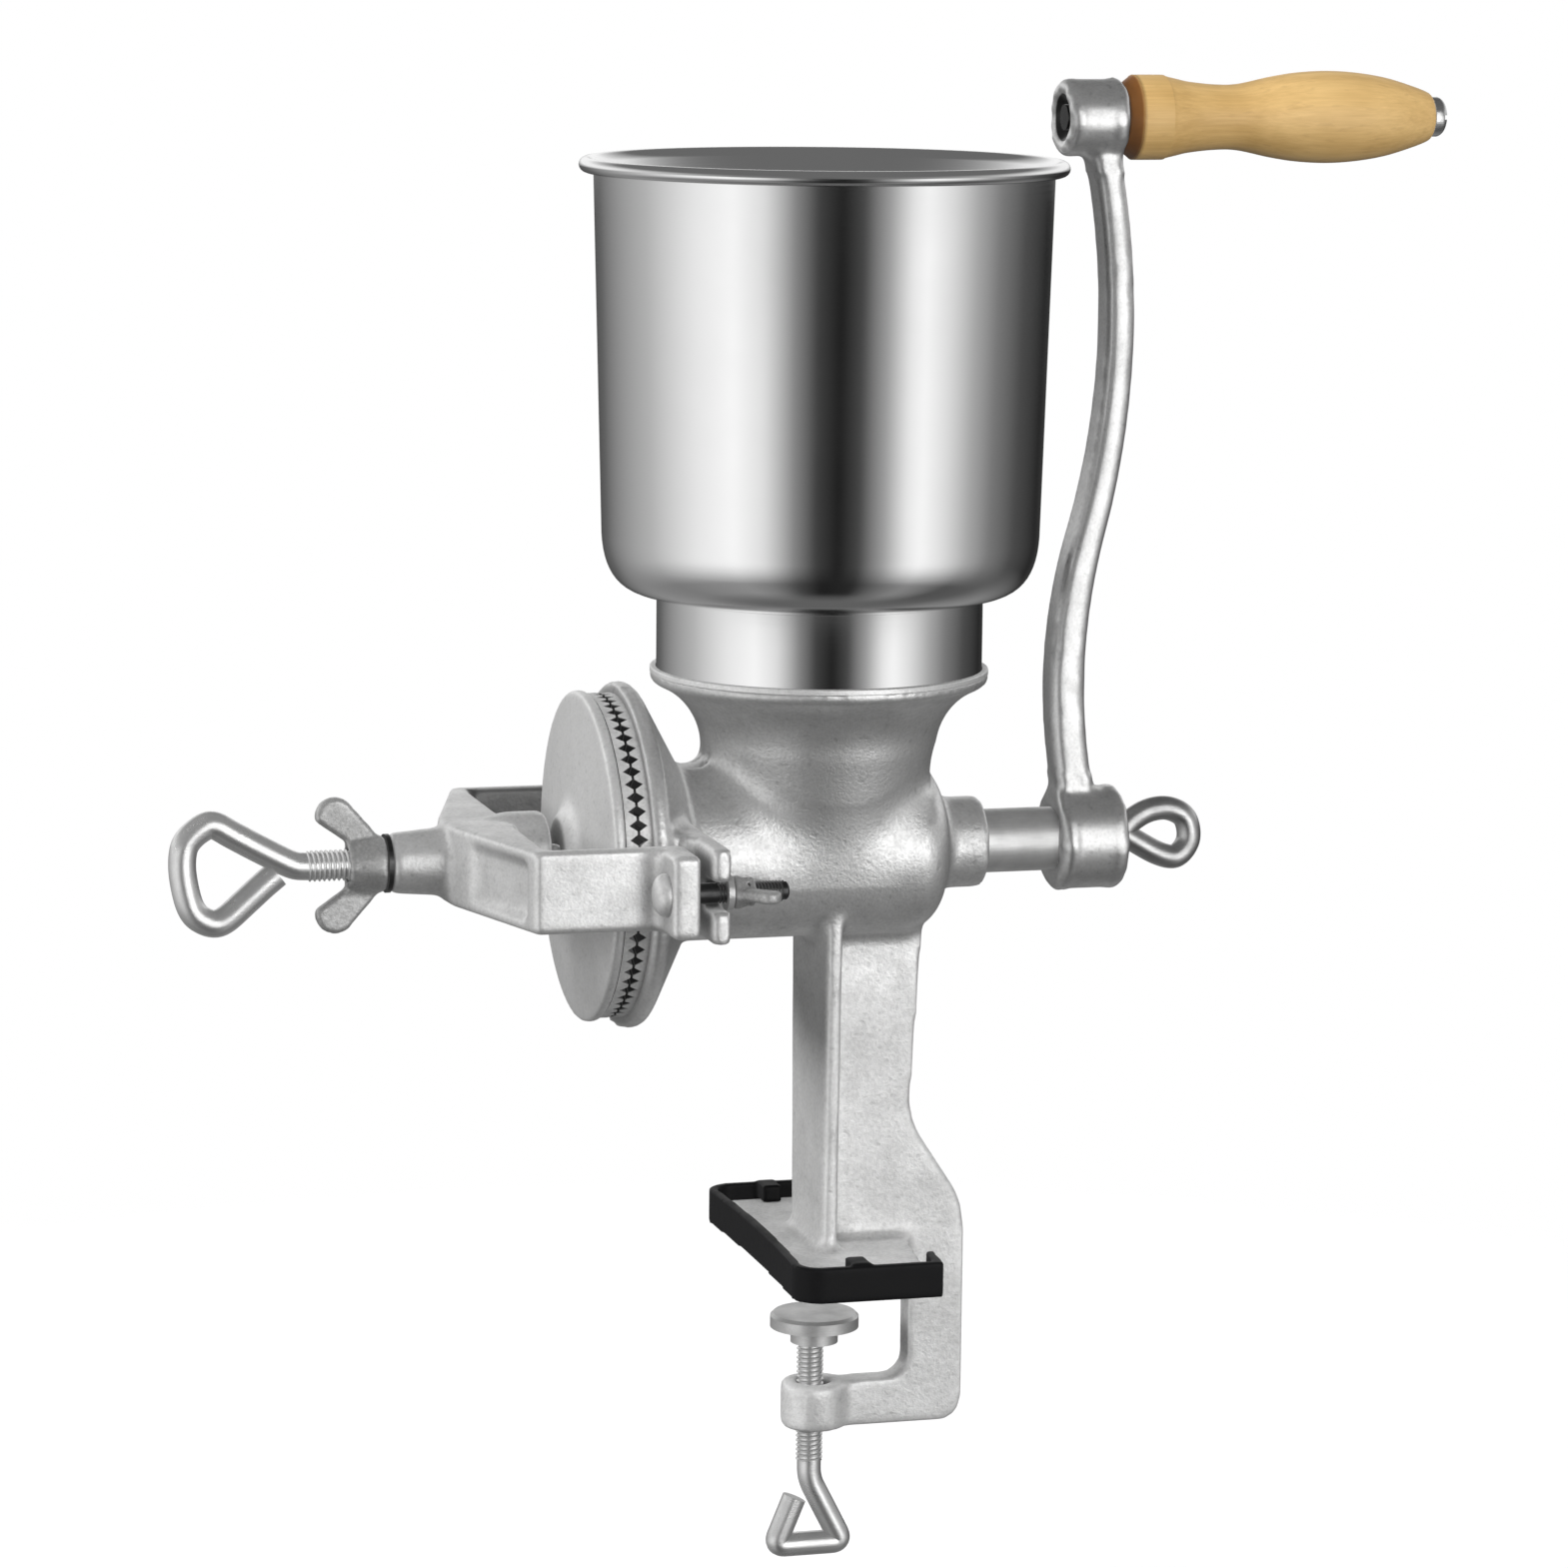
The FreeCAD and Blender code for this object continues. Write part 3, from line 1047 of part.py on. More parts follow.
def main():
    """Build every piece, check it and write its file."""
    make_mill_body()
    make_foot_boot()
    make_yoke()
    make_yoke_fasteners()
    make_burr("stationary_burr", flange_face, fixed_burr_face, bore_radius)
    make_burr_screws("stationary_burr_screws", fixed_burr_face, -1)
    make_burr("rotating_burr", disc_inner, turning_burr_face, spigot_radius + d.run_clear)
    make_burr_screws("rotating_burr_screws", turning_burr_face, 1)
    make_rotating_disc()
    make_feed_screw()
    make_drive_pin()
    make_thrust_ball()
    make_screws()
    make_crank_arm()
    make_grip()
    make_grip_spindle()
    make_hopper_collar()
    make_hopper_bowl()
    make_clamp_pad()
    doc.recompute()
    for item in doc.Objects:
        if "Invalid" in item.State or "Error" in item.State:
            raise ValueError(f"{item.Label} failed: {item.getStatusString()}")
    os.makedirs("parts", exist_ok=True)
    for body in Piece.made:
        if body.Shape.isNull() or not body.Shape.isValid():
            raise ValueError(f"{body.Label} has no valid shape")
        body.Shape.exportStep(f"parts/{body.Label}.step")
        print(body.Label, len(body.Shape.Solids), round(body.Shape.Volume))


main()
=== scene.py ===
"""Looks of a hand-crank grain mill: its finishes, cast and turned pieces, and a plain studio.

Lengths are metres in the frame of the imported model: X along the crank axis, Z up, Z = 0 under the rubber boot.
"""

import json
import logging
import math
from dataclasses import dataclass
from enum import Enum
from typing import Any, Callable, Iterable, Optional, Sequence, Union

import bpy
from mathutils import Matrix, Vector

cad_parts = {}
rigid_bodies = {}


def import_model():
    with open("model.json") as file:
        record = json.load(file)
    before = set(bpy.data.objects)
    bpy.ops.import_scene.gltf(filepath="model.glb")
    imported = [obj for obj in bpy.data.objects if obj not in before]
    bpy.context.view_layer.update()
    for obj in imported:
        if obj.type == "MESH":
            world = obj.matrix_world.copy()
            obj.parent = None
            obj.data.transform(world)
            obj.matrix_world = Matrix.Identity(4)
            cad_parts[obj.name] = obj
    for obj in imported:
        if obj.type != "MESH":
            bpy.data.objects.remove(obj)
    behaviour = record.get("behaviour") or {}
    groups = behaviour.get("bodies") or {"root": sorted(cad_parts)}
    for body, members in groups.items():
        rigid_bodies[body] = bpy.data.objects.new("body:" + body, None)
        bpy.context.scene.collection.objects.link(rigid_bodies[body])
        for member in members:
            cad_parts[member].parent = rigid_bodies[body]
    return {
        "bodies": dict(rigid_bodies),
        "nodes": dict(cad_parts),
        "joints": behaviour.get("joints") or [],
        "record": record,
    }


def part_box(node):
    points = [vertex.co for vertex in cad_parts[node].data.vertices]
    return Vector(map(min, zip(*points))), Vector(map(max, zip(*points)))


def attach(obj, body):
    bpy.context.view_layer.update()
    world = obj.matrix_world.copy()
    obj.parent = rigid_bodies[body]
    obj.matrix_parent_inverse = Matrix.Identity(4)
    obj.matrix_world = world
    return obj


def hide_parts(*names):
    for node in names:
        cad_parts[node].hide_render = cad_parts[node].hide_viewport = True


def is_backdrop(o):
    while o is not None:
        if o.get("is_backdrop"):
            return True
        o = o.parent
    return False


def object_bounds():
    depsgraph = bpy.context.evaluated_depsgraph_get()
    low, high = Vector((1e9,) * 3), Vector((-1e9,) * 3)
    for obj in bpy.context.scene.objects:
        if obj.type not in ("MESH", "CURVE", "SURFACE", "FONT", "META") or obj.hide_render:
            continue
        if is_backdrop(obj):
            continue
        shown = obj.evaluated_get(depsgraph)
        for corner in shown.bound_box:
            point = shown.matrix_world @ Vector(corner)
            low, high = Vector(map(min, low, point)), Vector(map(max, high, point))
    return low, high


LOG = logging.getLogger("grain_mill")
MM = 0.001
WELD = 0.002 * MM

# Sockets of the Mix node when it mixes colours; their names are not unique.
MIX_FACTOR, MIX_FIRST, MIX_SECOND = 0, 6, 7
MIX_RESULT = 2

Colour = tuple[float, float, float]
Point = tuple[float, float]
Number = Union[float, "Socket"]


class Axis(Enum):
    """The line that a turned piece is made about."""

    CRANK = (1.0, 0.0, 0.0)
    UPRIGHT = (0.0, 0.0, 1.0)

    def at(self, along: float, out: float) -> Vector:
        """Place a point of an outline that lies in the XZ plane."""
        return Vector((along, 0.0, out)) if self is Axis.CRANK else Vector((out, 0.0, along))


class Slot(Enum):
    """The record's material slots."""

    CASTING = "tinned_casting"
    CRANK = "bright_casting"
    BURR = "burr_iron"
    SHEET = "stainless_sheet"
    STEEL = "bright_steel"
    DARK = "dark_steel"
    RUBBER = "black_rubber"
    BEECH = "beech"


class Socket:
    """An output of a node, with arithmetic that adds Math nodes."""

    def __init__(self, paint: "Paint", output: bpy.types.NodeSocket) -> None:
        """Keep the output and the material that it belongs to."""
        self.paint = paint
        self.output = output

    def math(self, operation: str, other: Number, swapped: bool = False) -> "Socket":
        """Combine with a number or another output.

        Args:
            operation: The Math node's operation.
            other: The other value.
            swapped: Whether the other value comes first.

        Returns:
            The result's output.
        """
        pair = (other, self) if swapped else (self, other)
        return self.paint.node("ShaderNodeMath", {"operation": operation}, {0: pair[0], 1: pair[1]})

    def __add__(self, other: Number) -> "Socket":
        """Add."""
        return self.math("ADD", other)

    __radd__ = __add__

    def __sub__(self, other: Number) -> "Socket":
        """Subtract."""
        return self.math("SUBTRACT", other)

    def __rsub__(self, other: Number) -> "Socket":
        """Subtract from a number."""
        return self.math("SUBTRACT", other, True)

    def __mul__(self, other: Number) -> "Socket":
        """Multiply."""
        return self.math("MULTIPLY", other)

    def within(self, low: float, high: float) -> "Socket":
        """Map the span from low to high onto 0 to 1, and hold it there."""
        return self.paint.node("ShaderNodeMapRange", {"clamp": True},
                               {"Value": self, "From Min": low, "From Max": high})


class Paint:
    """A material under construction."""

    def __init__(self, name: str) -> None:
        """Start a material with a plain shader.

        Args:
            name: The material's name.
        """
        self.material = bpy.data.materials.new(name)
        self.material.use_nodes = True
        self.tree = self.material.node_tree
        self.shader = self.tree.nodes["Principled BSDF"]

    def feed(self, socket: bpy.types.NodeSocket, value: Any) -> None:
        """Link an output to a socket, or set the socket's number or colour.

        Args:
            socket: The socket to feed.
            value: An output, a number or a colour.
        """
        if isinstance(value, Socket):
            self.tree.links.new(value.output, socket)
        else:
            socket.default_value = (*value, 1.0) if socket.type == "RGBA" and len(value) == 3 else value

    def node(self, kind: str, settings: Optional[dict] = None, inputs: Optional[dict] = None,
             output: Union[int, str] = 0) -> Socket:
        """Add a node.

        Args:
            kind: The node's type.
            settings: Its own properties, or the stops of a ramp.
            inputs: Values or links of its sockets.
            output: Which output to return.

        Returns:
            The chosen output.
        """
        node = self.tree.nodes.new(kind)
        for key, value in (settings or {}).items():
            if key == "stops":
                self.set_stops(node.color_ramp, value)
            else:
                setattr(node, key, value)
        for key, value in (inputs or {}).items():
            self.feed(node.inputs[key], value)
        return Socket(self, node.outputs[output])

    @staticmethod
    def set_stops(ramp: bpy.types.ColorRamp, stops: Sequence[tuple[float, Colour]]) -> None:
        """Give a ramp its stops.

        Args:
            ramp: The ramp.
            stops: Place and colour of each stop, in order.
        """
        while len(ramp.elements) < len(stops):
            ramp.elements.new(1.0)
        for element, (place, colour) in zip(ramp.elements, stops):
            element.position = place
            element.color = (*colour, 1.0)

    def place(self, stretch: Sequence[float] = (1, 1, 1), shift: Sequence[float] = (0, 0, 0)) -> Socket:
        """Object coordinates, stretched and shifted."""
        spot = self.node("ShaderNodeTexCoord", output="Object")
        return self.node("ShaderNodeMapping", inputs={"Vector": spot, "Scale": stretch, "Location": shift})

    def along(self, axis: str) -> Socket:
        """The object coordinate along X, Y or Z."""
        return self.node("ShaderNodeSeparateXYZ", inputs={0: self.place()}, output=axis)

    def away(self, stretch: Sequence[float], shift: Sequence[float] = (0, 0, 0)) -> Socket:
        """Distance from the origin of stretched and shifted coordinates."""
        return self.node("ShaderNodeVectorMath", {"operation": "LENGTH"},
                         {0: self.place(stretch, shift)}, "Value")

    def noise(self, size: float, detail: float = 4.0, rough: float = 0.55,
              stretch: Sequence[float] = (1, 1, 1)) -> Socket:
        """Cloudy noise whose blobs have a given size."""
        return self.node("ShaderNodeTexNoise", inputs={
            "Vector": self.place(stretch), "Scale": 1.0 / size, "Detail": detail, "Roughness": rough})

    def mix(self, factor: Number, first: Any, second: Any) -> Socket:
        """Mix two colours."""
        return self.node("ShaderNodeMix", {"data_type": "RGBA"},
                         {MIX_FACTOR: factor, MIX_FIRST: first, MIX_SECOND: second}, MIX_RESULT)

    def bump(self, height: Number, depth: float) -> Socket:
        """Turn a height into a bent normal."""
        return self.node("ShaderNodeBump", inputs={"Height": height, "Distance": depth, "Strength": 1.0})

    def finish(self, **sockets: Any) -> bpy.types.Material:
        """Set the shader's sockets.

        Args:
            sockets: Values or outputs by socket name, in small letters with underscores.

        Returns:
            The material.
        """
        for name, value in sockets.items():
            self.feed(self.shader.inputs[name.replace("_", " ").title().replace("Ior", "IOR")], value)
        return self.material


@dataclass(frozen=True)
class ShadedPocket:
    """A painted shadow in a hollow: right of a place, between two sides and outside a radius about the crank
    axis.
    """

    start: float
    half_width: float
    radius: float


@dataclass(frozen=True)
class CastFinish:
    """A sand-cast metal skin: grain, cloudy patches and small pits.

    Where the mesh is fine its edges are bright, and its corners and crevices get painted shade, also from
    ambient occlusion. It can get painted shade above a height, be less metallic below one, and get painted shade
    within a radius of a line along X or in a shaded pocket.
    """

    name: str
    light: Colour
    dark: Colour
    # The colour of the small pits and of all the painted shade.
    corner: Colour
    rough: tuple[float, float]
    metal: float
    patch: float = 16 * MM
    grain: float = 0.9 * MM
    relief: float = 0.12 * MM
    edges: float = 1.0
    # Painted shade above a height: its share, where it starts and where it is full.
    upper_shade: float = 0.0
    upper_shade_from: float = 148 * MM
    upper_shade_to: float = 172 * MM
    # Painted shade within this radius of a line along X at axis_height, in bores and recesses; 0 for none.
    inside: float = 0.0
    axis_height: float = 0.0
    # Painted shadow on the inner faces of a hollow.
    shaded_pocket: Optional[ShadedPocket] = None
    low_metal: Optional[float] = None
    low_to: float = 95 * MM
    # Reach of the ambient occlusion that paints shade into crevices.
    crevice: float = 9 * MM
    ragged: float = 20 * MM
    speck_share: float = 0.24
    # Share of the painted shade in concave hollows.
    hollow_share: float = 0.80
    worn_share: float = 0.70
    shade_share: float = 0.90

    def make(self) -> bpy.types.Material:
        """Build the material.

        Returns:
            The material.
        """
        paint = Paint(self.name)
        cloud = paint.noise(self.patch, 6.0, 0.62)
        grain = paint.noise(self.grain, 3.0, 0.6)
        speck = paint.noise(self.grain * 2.0, 2.0, 0.5).within(0.60, 0.74)
        shape = paint.node("ShaderNodeNewGeometry", output="Pointiness")
        worn = shape.within(0.510, 0.575) * self.edges
        # Painted shade in concave hollows, where the mesh is fine.
        hollow = shape.within(0.492, 0.440) * self.edges
        tone = (cloud * 0.55 + grain * 0.45).within(0.36, 0.64)
        skin = paint.mix(tone, self.dark, self.light)
        skin = paint.mix(speck * self.speck_share, skin, self.corner)
        height = paint.along("Z") + (cloud - 0.5) * self.ragged
        # Painted shade above a height.
        skin = paint.mix(height.within(self.upper_shade_from, self.upper_shade_to) * self.upper_shade, skin, self.corner)
        out = paint.away((0, 1, 1), (0, 0, -self.axis_height))
        # Painted shade within a radius of a line along X, in bores and recesses.
        skin = paint.mix(out.within(self.inside, self.inside - 0.3 * MM), skin, self.corner)
        # Painted shadow in the pocket.
        if self.shaded_pocket:
            start, half, radius = self.shaded_pocket.start, self.shaded_pocket.half_width, self.shaded_pocket.radius
            across = paint.along("Y").math("ABSOLUTE", 0.0)
            deep = paint.along("X").within(start, start + MM) * out.within(radius, radius + 2 * MM)
            deep = deep * across.within(half + 0.6 * MM, half - 0.2 * MM)
            skin = paint.mix(deep * self.shade_share, skin, self.corner)
        # Painted shade in crevices from ambient occlusion, then in concave hollows.
        open_ = paint.node("ShaderNodeAmbientOcclusion", {"samples": 8}, {"Distance": self.crevice}, "AO")
        skin = paint.mix(open_.within(0.68, 0.18) * self.shade_share, skin, self.corner)
        skin = paint.mix(hollow * self.hollow_share, skin, self.corner)
        skin = paint.mix(worn * self.worn_share, skin, self.light)
        roughness = self.rough[0] + (1.0 - tone) * (self.rough[1] - self.rough[0]) - worn * 0.06
        relief = grain * 0.7 + cloud * 0.4 - speck * 0.35
        metal = self.metal
        if self.low_metal is not None:
            raised = height.within(0.8 * self.low_to, self.low_to)
            metal = self.low_metal + raised * (self.metal - self.low_metal)
        return paint.finish(base_color=skin, roughness=roughness, metallic=metal,
                            normal=paint.bump(relief, self.relief))


@dataclass(frozen=True)
class SheetFinish:
    """Polished sheet steel with faint turning lines and smudges."""

    name: str
    colour: Colour
    rough: tuple[float, float]

    def make(self) -> bpy.types.Material:
        """Build the material.

        Returns:
            The material.
        """
        paint = Paint(self.name)
        lines = paint.noise(1.0 * MM, 3.0, 0.6, (0.02, 0.02, 1.0))
        smudge = paint.noise(30 * MM, 3.0, 0.5).within(0.35, 0.70)
        span = self.rough[1] - self.rough[0]
        roughness = self.rough[0] + smudge * (span * 0.6) + lines * (span * 0.4)
        tint = paint.mix(smudge * 0.25, self.colour, tuple(part * 0.93 for part in self.colour))
        return paint.finish(base_color=tint, roughness=roughness, metallic=1.0,
                            normal=paint.bump(lines, 0.006 * MM))


@dataclass(frozen=True)
class SteelFinish:
    """Drawn or machined steel with fine scratches and a little grime, black below a place along X."""

    name: str
    light: Colour
    dark: Colour
    rough: tuple[float, float]
    metal: float = 1.0
    black_to: float = -10.0
    black: Colour = (0.02, 0.02, 0.02)
    scratch: Sequence[float] = (0.06, 1.0, 1.0)

    def make(self) -> bpy.types.Material:
        """Build the material.

        Returns:
            The material.
        """
        paint = Paint(self.name)
        drawn = paint.noise(0.5 * MM, 3.0, 0.6, self.scratch)
        cloud = paint.noise(9 * MM, 5.0, 0.6)
        tone = (cloud * 0.7 + drawn * 0.3).within(0.36, 0.64)
        skin = paint.mix(tone, self.dark, self.light)
        skin = paint.mix(paint.along("X").within(self.black_to + MM, self.black_to), skin, self.black)
        roughness = self.rough[1] - tone * (self.rough[1] - self.rough[0])
        return paint.finish(base_color=skin, roughness=roughness, metallic=self.metal,
                            normal=paint.bump(drawn, 0.03 * MM))


@dataclass(frozen=True)
class RubberFinish:
    """Moulded black rubber, dusty on its high spots."""

    name: str
    deep: Colour
    dusty: Colour

    def make(self) -> bpy.types.Material:
        """Build the material.

        Returns:
            The material.
        """
        paint = Paint(self.name)
        grain = paint.noise(0.7 * MM, 3.0, 0.6)
        dust = paint.noise(11 * MM, 5.0, 0.6).within(0.48, 0.80)
        skin = paint.mix(dust * 0.7, self.deep, self.dusty)
        return paint.finish(base_color=skin, roughness=0.50 + dust * 0.22, metallic=0.0,
                            specular_ior_level=0.2, normal=paint.bump(grain, 0.05 * MM))


@dataclass(frozen=True)
class BeechFinish:
    """Pale turned beech with grain along X, short flecks and a stained inner end."""

    name: str
    pale: Colour
    warm: Colour
    fleck: Colour
    stain: Colour
    stain_at: float
    stain_width: float

    def make(self) -> bpy.types.Material:
        """Build the material.

        Returns:
            The material.
        """
        paint = Paint(self.name)
        bands = paint.noise(7 * MM, 4.0, 0.55, (0.07, 1.0, 1.0))
        fibre = paint.noise(0.8 * MM, 3.0, 0.6, (0.03, 1.0, 1.0))
        short = paint.noise(1.5 * MM, 2.0, 0.5, (0.22, 1.0, 1.0)).within(0.62, 0.72)
        cloud = paint.noise(24 * MM, 3.0, 0.5)
        tone = (bands * 0.5 + fibre * 0.25 + cloud * 0.35).within(0.40, 0.70)
        skin = paint.mix(tone, self.pale, self.warm)
        skin = paint.mix(short * 0.16, skin, self.fleck)
        ragged = paint.along("X") + (cloud - 0.5) * (0.8 * MM)
        end = ragged.within(self.stain_at + self.stain_width, self.stain_at + 0.65 * self.stain_width)
        skin = paint.mix(end, skin, self.stain)
        roughness = 0.40 + fibre * 0.16
        return paint.finish(base_color=skin, roughness=roughness, metallic=0.0, coat_weight=0.12,
                            normal=paint.bump(fibre + short * 0.5, 0.05 * MM))


class Finishes:
    """Every finish of the mill, made once."""

    def __init__(self) -> None:
        """Make the materials by slot."""
        grip_low, grip_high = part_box("grip")
        yoke_low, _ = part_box("yoke")
        burr_low, burr_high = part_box("stationary_burr")
        axis_height = (burr_low.z + burr_high.z) / 2
        recipes = {
            Slot.CASTING: CastFinish("tinned_casting", (0.90, 0.90, 0.895), (0.68, 0.68, 0.675),
                                     (0.12, 0.12, 0.118), (0.36, 0.50), 0.60),
            # The arm gets painted shade in the recess of its top boss, about the grip's axis.
            Slot.CRANK: CastFinish("bright_casting", (0.84, 0.84, 0.835), (0.64, 0.64, 0.635),
                                   (0.05, 0.05, 0.05), (0.30, 0.40), 0.88, patch=12 * MM, relief=0.05 * MM,
                                   edges=0.35, inside=7.5 * MM,
                                   axis_height=(grip_low.z + grip_high.z) / 2),
            # The burrs get painted shade inside their rims, between and under the teeth.
            Slot.BURR: CastFinish("burr_iron", (0.84, 0.84, 0.835), (0.58, 0.58, 0.575), (0.02, 0.02, 0.02),
                                  (0.38, 0.52), 0.40, patch=8 * MM, edges=0.0, axis_height=axis_height,
                                  inside=burr_high.y - 0.15 * MM),
            Slot.SHEET: SheetFinish("stainless_sheet", (0.95, 0.95, 0.95), (0.10, 0.16)),
            Slot.STEEL: SteelFinish("bright_steel", (0.94, 0.94, 0.935), (0.78, 0.78, 0.775),
                                    (0.26, 0.36), 0.85),
            Slot.DARK: SteelFinish("dark_steel", (0.15, 0.15, 0.15), (0.05, 0.05, 0.05), (0.32, 0.46)),
            Slot.RUBBER: RubberFinish("black_rubber", (0.005, 0.005, 0.0055), (0.012, 0.012, 0.013)),
            Slot.BEECH: BeechFinish("beech", (0.92, 0.62, 0.26), (0.66, 0.41, 0.145), (0.44, 0.24, 0.085),
                                    (0.20, 0.08, 0.02), stain_at=grip_low.x, stain_width=4.6 * MM),
        }
        variants = {
            # The body's neck gets painted shade under the collar.
            "body": CastFinish("tinned_casting_body", (0.92, 0.92, 0.915), (0.66, 0.66, 0.655),
                               (0.08, 0.08, 0.079), (0.33, 0.46), 0.78, grain=1.1 * MM, relief=0.20 * MM,
                               upper_shade=0.15, low_metal=0.36, low_to=106 * MM),
            # The yoke gets painted shadow on the inner face of its rear arm, where the disc shades it.
            "yoke": CastFinish("tinned_casting_yoke", (0.90, 0.90, 0.895), (0.66, 0.66, 0.655),
                               (0.07, 0.07, 0.069), (0.34, 0.47), 0.68, axis_height=axis_height,
                               shaded_pocket=ShadedPocket(start=yoke_low.x + 35.5 * MM, half_width=56.2 * MM,
                                         radius=15.5 * MM)),
            "disc": CastFinish("tinned_casting_disc", (0.90, 0.90, 0.895), (0.72, 0.72, 0.715),
                               (0.12, 0.12, 0.118), (0.36, 0.48), 0.60, edges=0.0),
            "lock_nut": CastFinish("tinned_casting_nut", (0.66, 0.66, 0.655), (0.38, 0.38, 0.377),
                                   (0.08, 0.08, 0.079), (0.34, 0.46), 0.65),
            "draw_nut": CastFinish("tinned_casting_dark", (0.62, 0.62, 0.615), (0.32, 0.32, 0.317),
                                   (0.04, 0.04, 0.04), (0.34, 0.48), 0.55),
            "satin": SteelFinish("bright_steel_satin", (0.80, 0.80, 0.795), (0.64, 0.64, 0.635),
                                 (0.38, 0.48), 0.80),
            "worn": SteelFinish("bright_steel_worn", (0.66, 0.66, 0.655), (0.44, 0.44, 0.437),
                                (0.28, 0.38), 0.95),
            "spindle": SteelFinish("dark_steel_spindle", (0.84, 0.84, 0.835), (0.56, 0.56, 0.555),
                                   (0.20, 0.34), black_to=grip_low.x),
        }
        self.made = {slot: recipe.make() for slot, recipe in recipes.items()}
        self.variants = {name: recipe.make() for name, recipe in variants.items()}

    def dress(self, piece: bpy.types.Object, slot: Slot, body: str, *nodes: str,
              variant: Optional[str] = None) -> bpy.types.Object:
        """Give a piece its finish, its body and the nodes that it stands for.

        Args:
            piece: The finished piece.
            slot: The record's material slot.
            body: The body that it rides on.
            nodes: The nodes that it replaces.
            variant: Name of a finish to use in place of the slot's own.

        Returns:
            The piece.
        """
        piece.data.materials.clear()
        piece.data.materials.append(self.variants[variant] if variant else self.made[slot])
        piece.visible_glossy = slot is Slot.SHEET
        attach(piece, body)
        if nodes:
            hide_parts(*nodes)
        LOG.info("%s rides on %s: %d faces", piece.name, body, len(piece.data.polygons))
        return piece


class Bench:
    """Modelling steps that several pieces share."""

    def __init__(self, frame: dict) -> None:
        """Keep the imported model."""
        self.nodes = frame["nodes"]

    @staticmethod
    def clear() -> None:
        """Leave nothing selected."""
        if bpy.context.object and bpy.context.object.mode != "OBJECT":
            bpy.ops.object.mode_set(mode="OBJECT")
        bpy.ops.object.select_all(action="DESELECT")

    def pick(self, piece: bpy.types.Object) -> None:
        """Make one piece the selected and active one.

        Args:
            piece: The piece.
        """
        self.clear()
        piece.select_set(True)
        bpy.context.view_layer.objects.active = piece

    def apply(self, piece: bpy.types.Object, kind: str, **settings: Any) -> None:
        """Add a modifier and apply it.

        Args:
            piece: The piece to change.
            kind: The modifier's type.
            settings: The modifier's properties.
        """
        self.pick(piece)
        modifier = piece.modifiers.new(kind.lower(), kind)
        for key, value in settings.items():
            setattr(modifier, key, value)
        bpy.ops.object.modifier_apply(modifier=modifier.name)

    def smooth(self, piece: bpy.types.Object, degrees: float) -> None:
        """Shade a piece smooth, with edges sharper than an angle kept."""
        self.pick(piece)
        bpy.ops.object.shade_smooth_by_angle(angle=math.radians(degrees))

    def settle(self, piece: bpy.types.Object, place: Sequence[float]) -> None:
        """Move a piece that was made at the origin, with its place in its mesh.

        Args:
            piece: The piece.
            place: Where its origin goes.
        """
        self.pick(piece)
        bpy.ops.transform.translate(value=tuple(place))
        bpy.ops.object.transform_apply(location=True, rotation=True, scale=True)

    def join(self, name: str, pieces: Sequence[bpy.types.Object]) -> bpy.types.Object:
        """Make one object of several.

        Args:
            name: The new object's name.
            pieces: The objects to join.

        Returns:
            The joined object.
        """
        self.pick(pieces[0])
        for piece in pieces:
            piece.select_set(True)
        bpy.ops.object.join()
        bpy.context.object.name = name
        return bpy.context.object

    def weld(self, piece: bpy.types.Object) -> None:
        """Merge the points of a piece that coincide, and turn its faces outwards.

        Args:
            piece: The piece.
        """
        self.pick(piece)
        bpy.ops.object.mode_set(mode="EDIT")
        bpy.ops.mesh.select_all(action="SELECT")
        bpy.ops.mesh.remove_doubles(threshold=WELD)
        bpy.ops.mesh.normals_make_consistent(inside=False)
        bpy.ops.object.mode_set(mode="OBJECT")

    def copy(self, node: str, name: str) -> bpy.types.Object:
        """Copy a node's mesh and weld its loose triangles.

        Args:
            node: The node to copy.
            name: The copy's name.

        Returns:
            The copy.
        """
        self.clear()
        piece = bpy.data.objects.new(name, self.nodes[node].data.copy())
        bpy.context.scene.collection.objects.link(piece)
        self.weld(piece)
        bpy.ops.mesh.customdata_custom_splitnormals_clear()
        return piece

    def machined(self, node: str, name: str, degrees: float = 28.0) -> bpy.types.Object:
        """A node's own shape with smooth shading.

        Args:
            node: The node to copy.
            name: The copy's name.
            degrees: Edges sharper than this stay sharp.

        Returns:
            The shaded copy.
        """
        piece = self.copy(node, name)
        self.smooth(piece, degrees)
        return piece

    def cast(self, piece: bpy.types.Object, voxel: float, fillet: float, soften: int,
             edge: float = 0.0) -> bpy.types.Object:
        """Give a piece the fillets and soft edges of a casting.

        Args:
            piece: A closed piece, or several that overlap.
            voxel: Size of the new mesh's cells.
            fillet: Radius that fills the inner corners, or 0.
            soften: How many times the surface is smoothed.
            edge: Radius that rounds the outer edges, or 0.

        Returns:
            The same piece, as one skin.
        """
        self.apply(piece, "REMESH", mode="VOXEL", voxel_size=voxel)
        for swell in [step for step in (fillet, -fillet, -edge, edge) if step]:
            self.apply(piece, "DISPLACE", strength=swell, mid_level=0.0, direction="NORMAL")
            self.apply(piece, "REMESH", mode="VOXEL", voxel_size=voxel)
        self.apply(piece, "SMOOTH", factor=0.5, iterations=soften)
        self.pick(piece)
        bpy.ops.object.shade_smooth()
        return piece

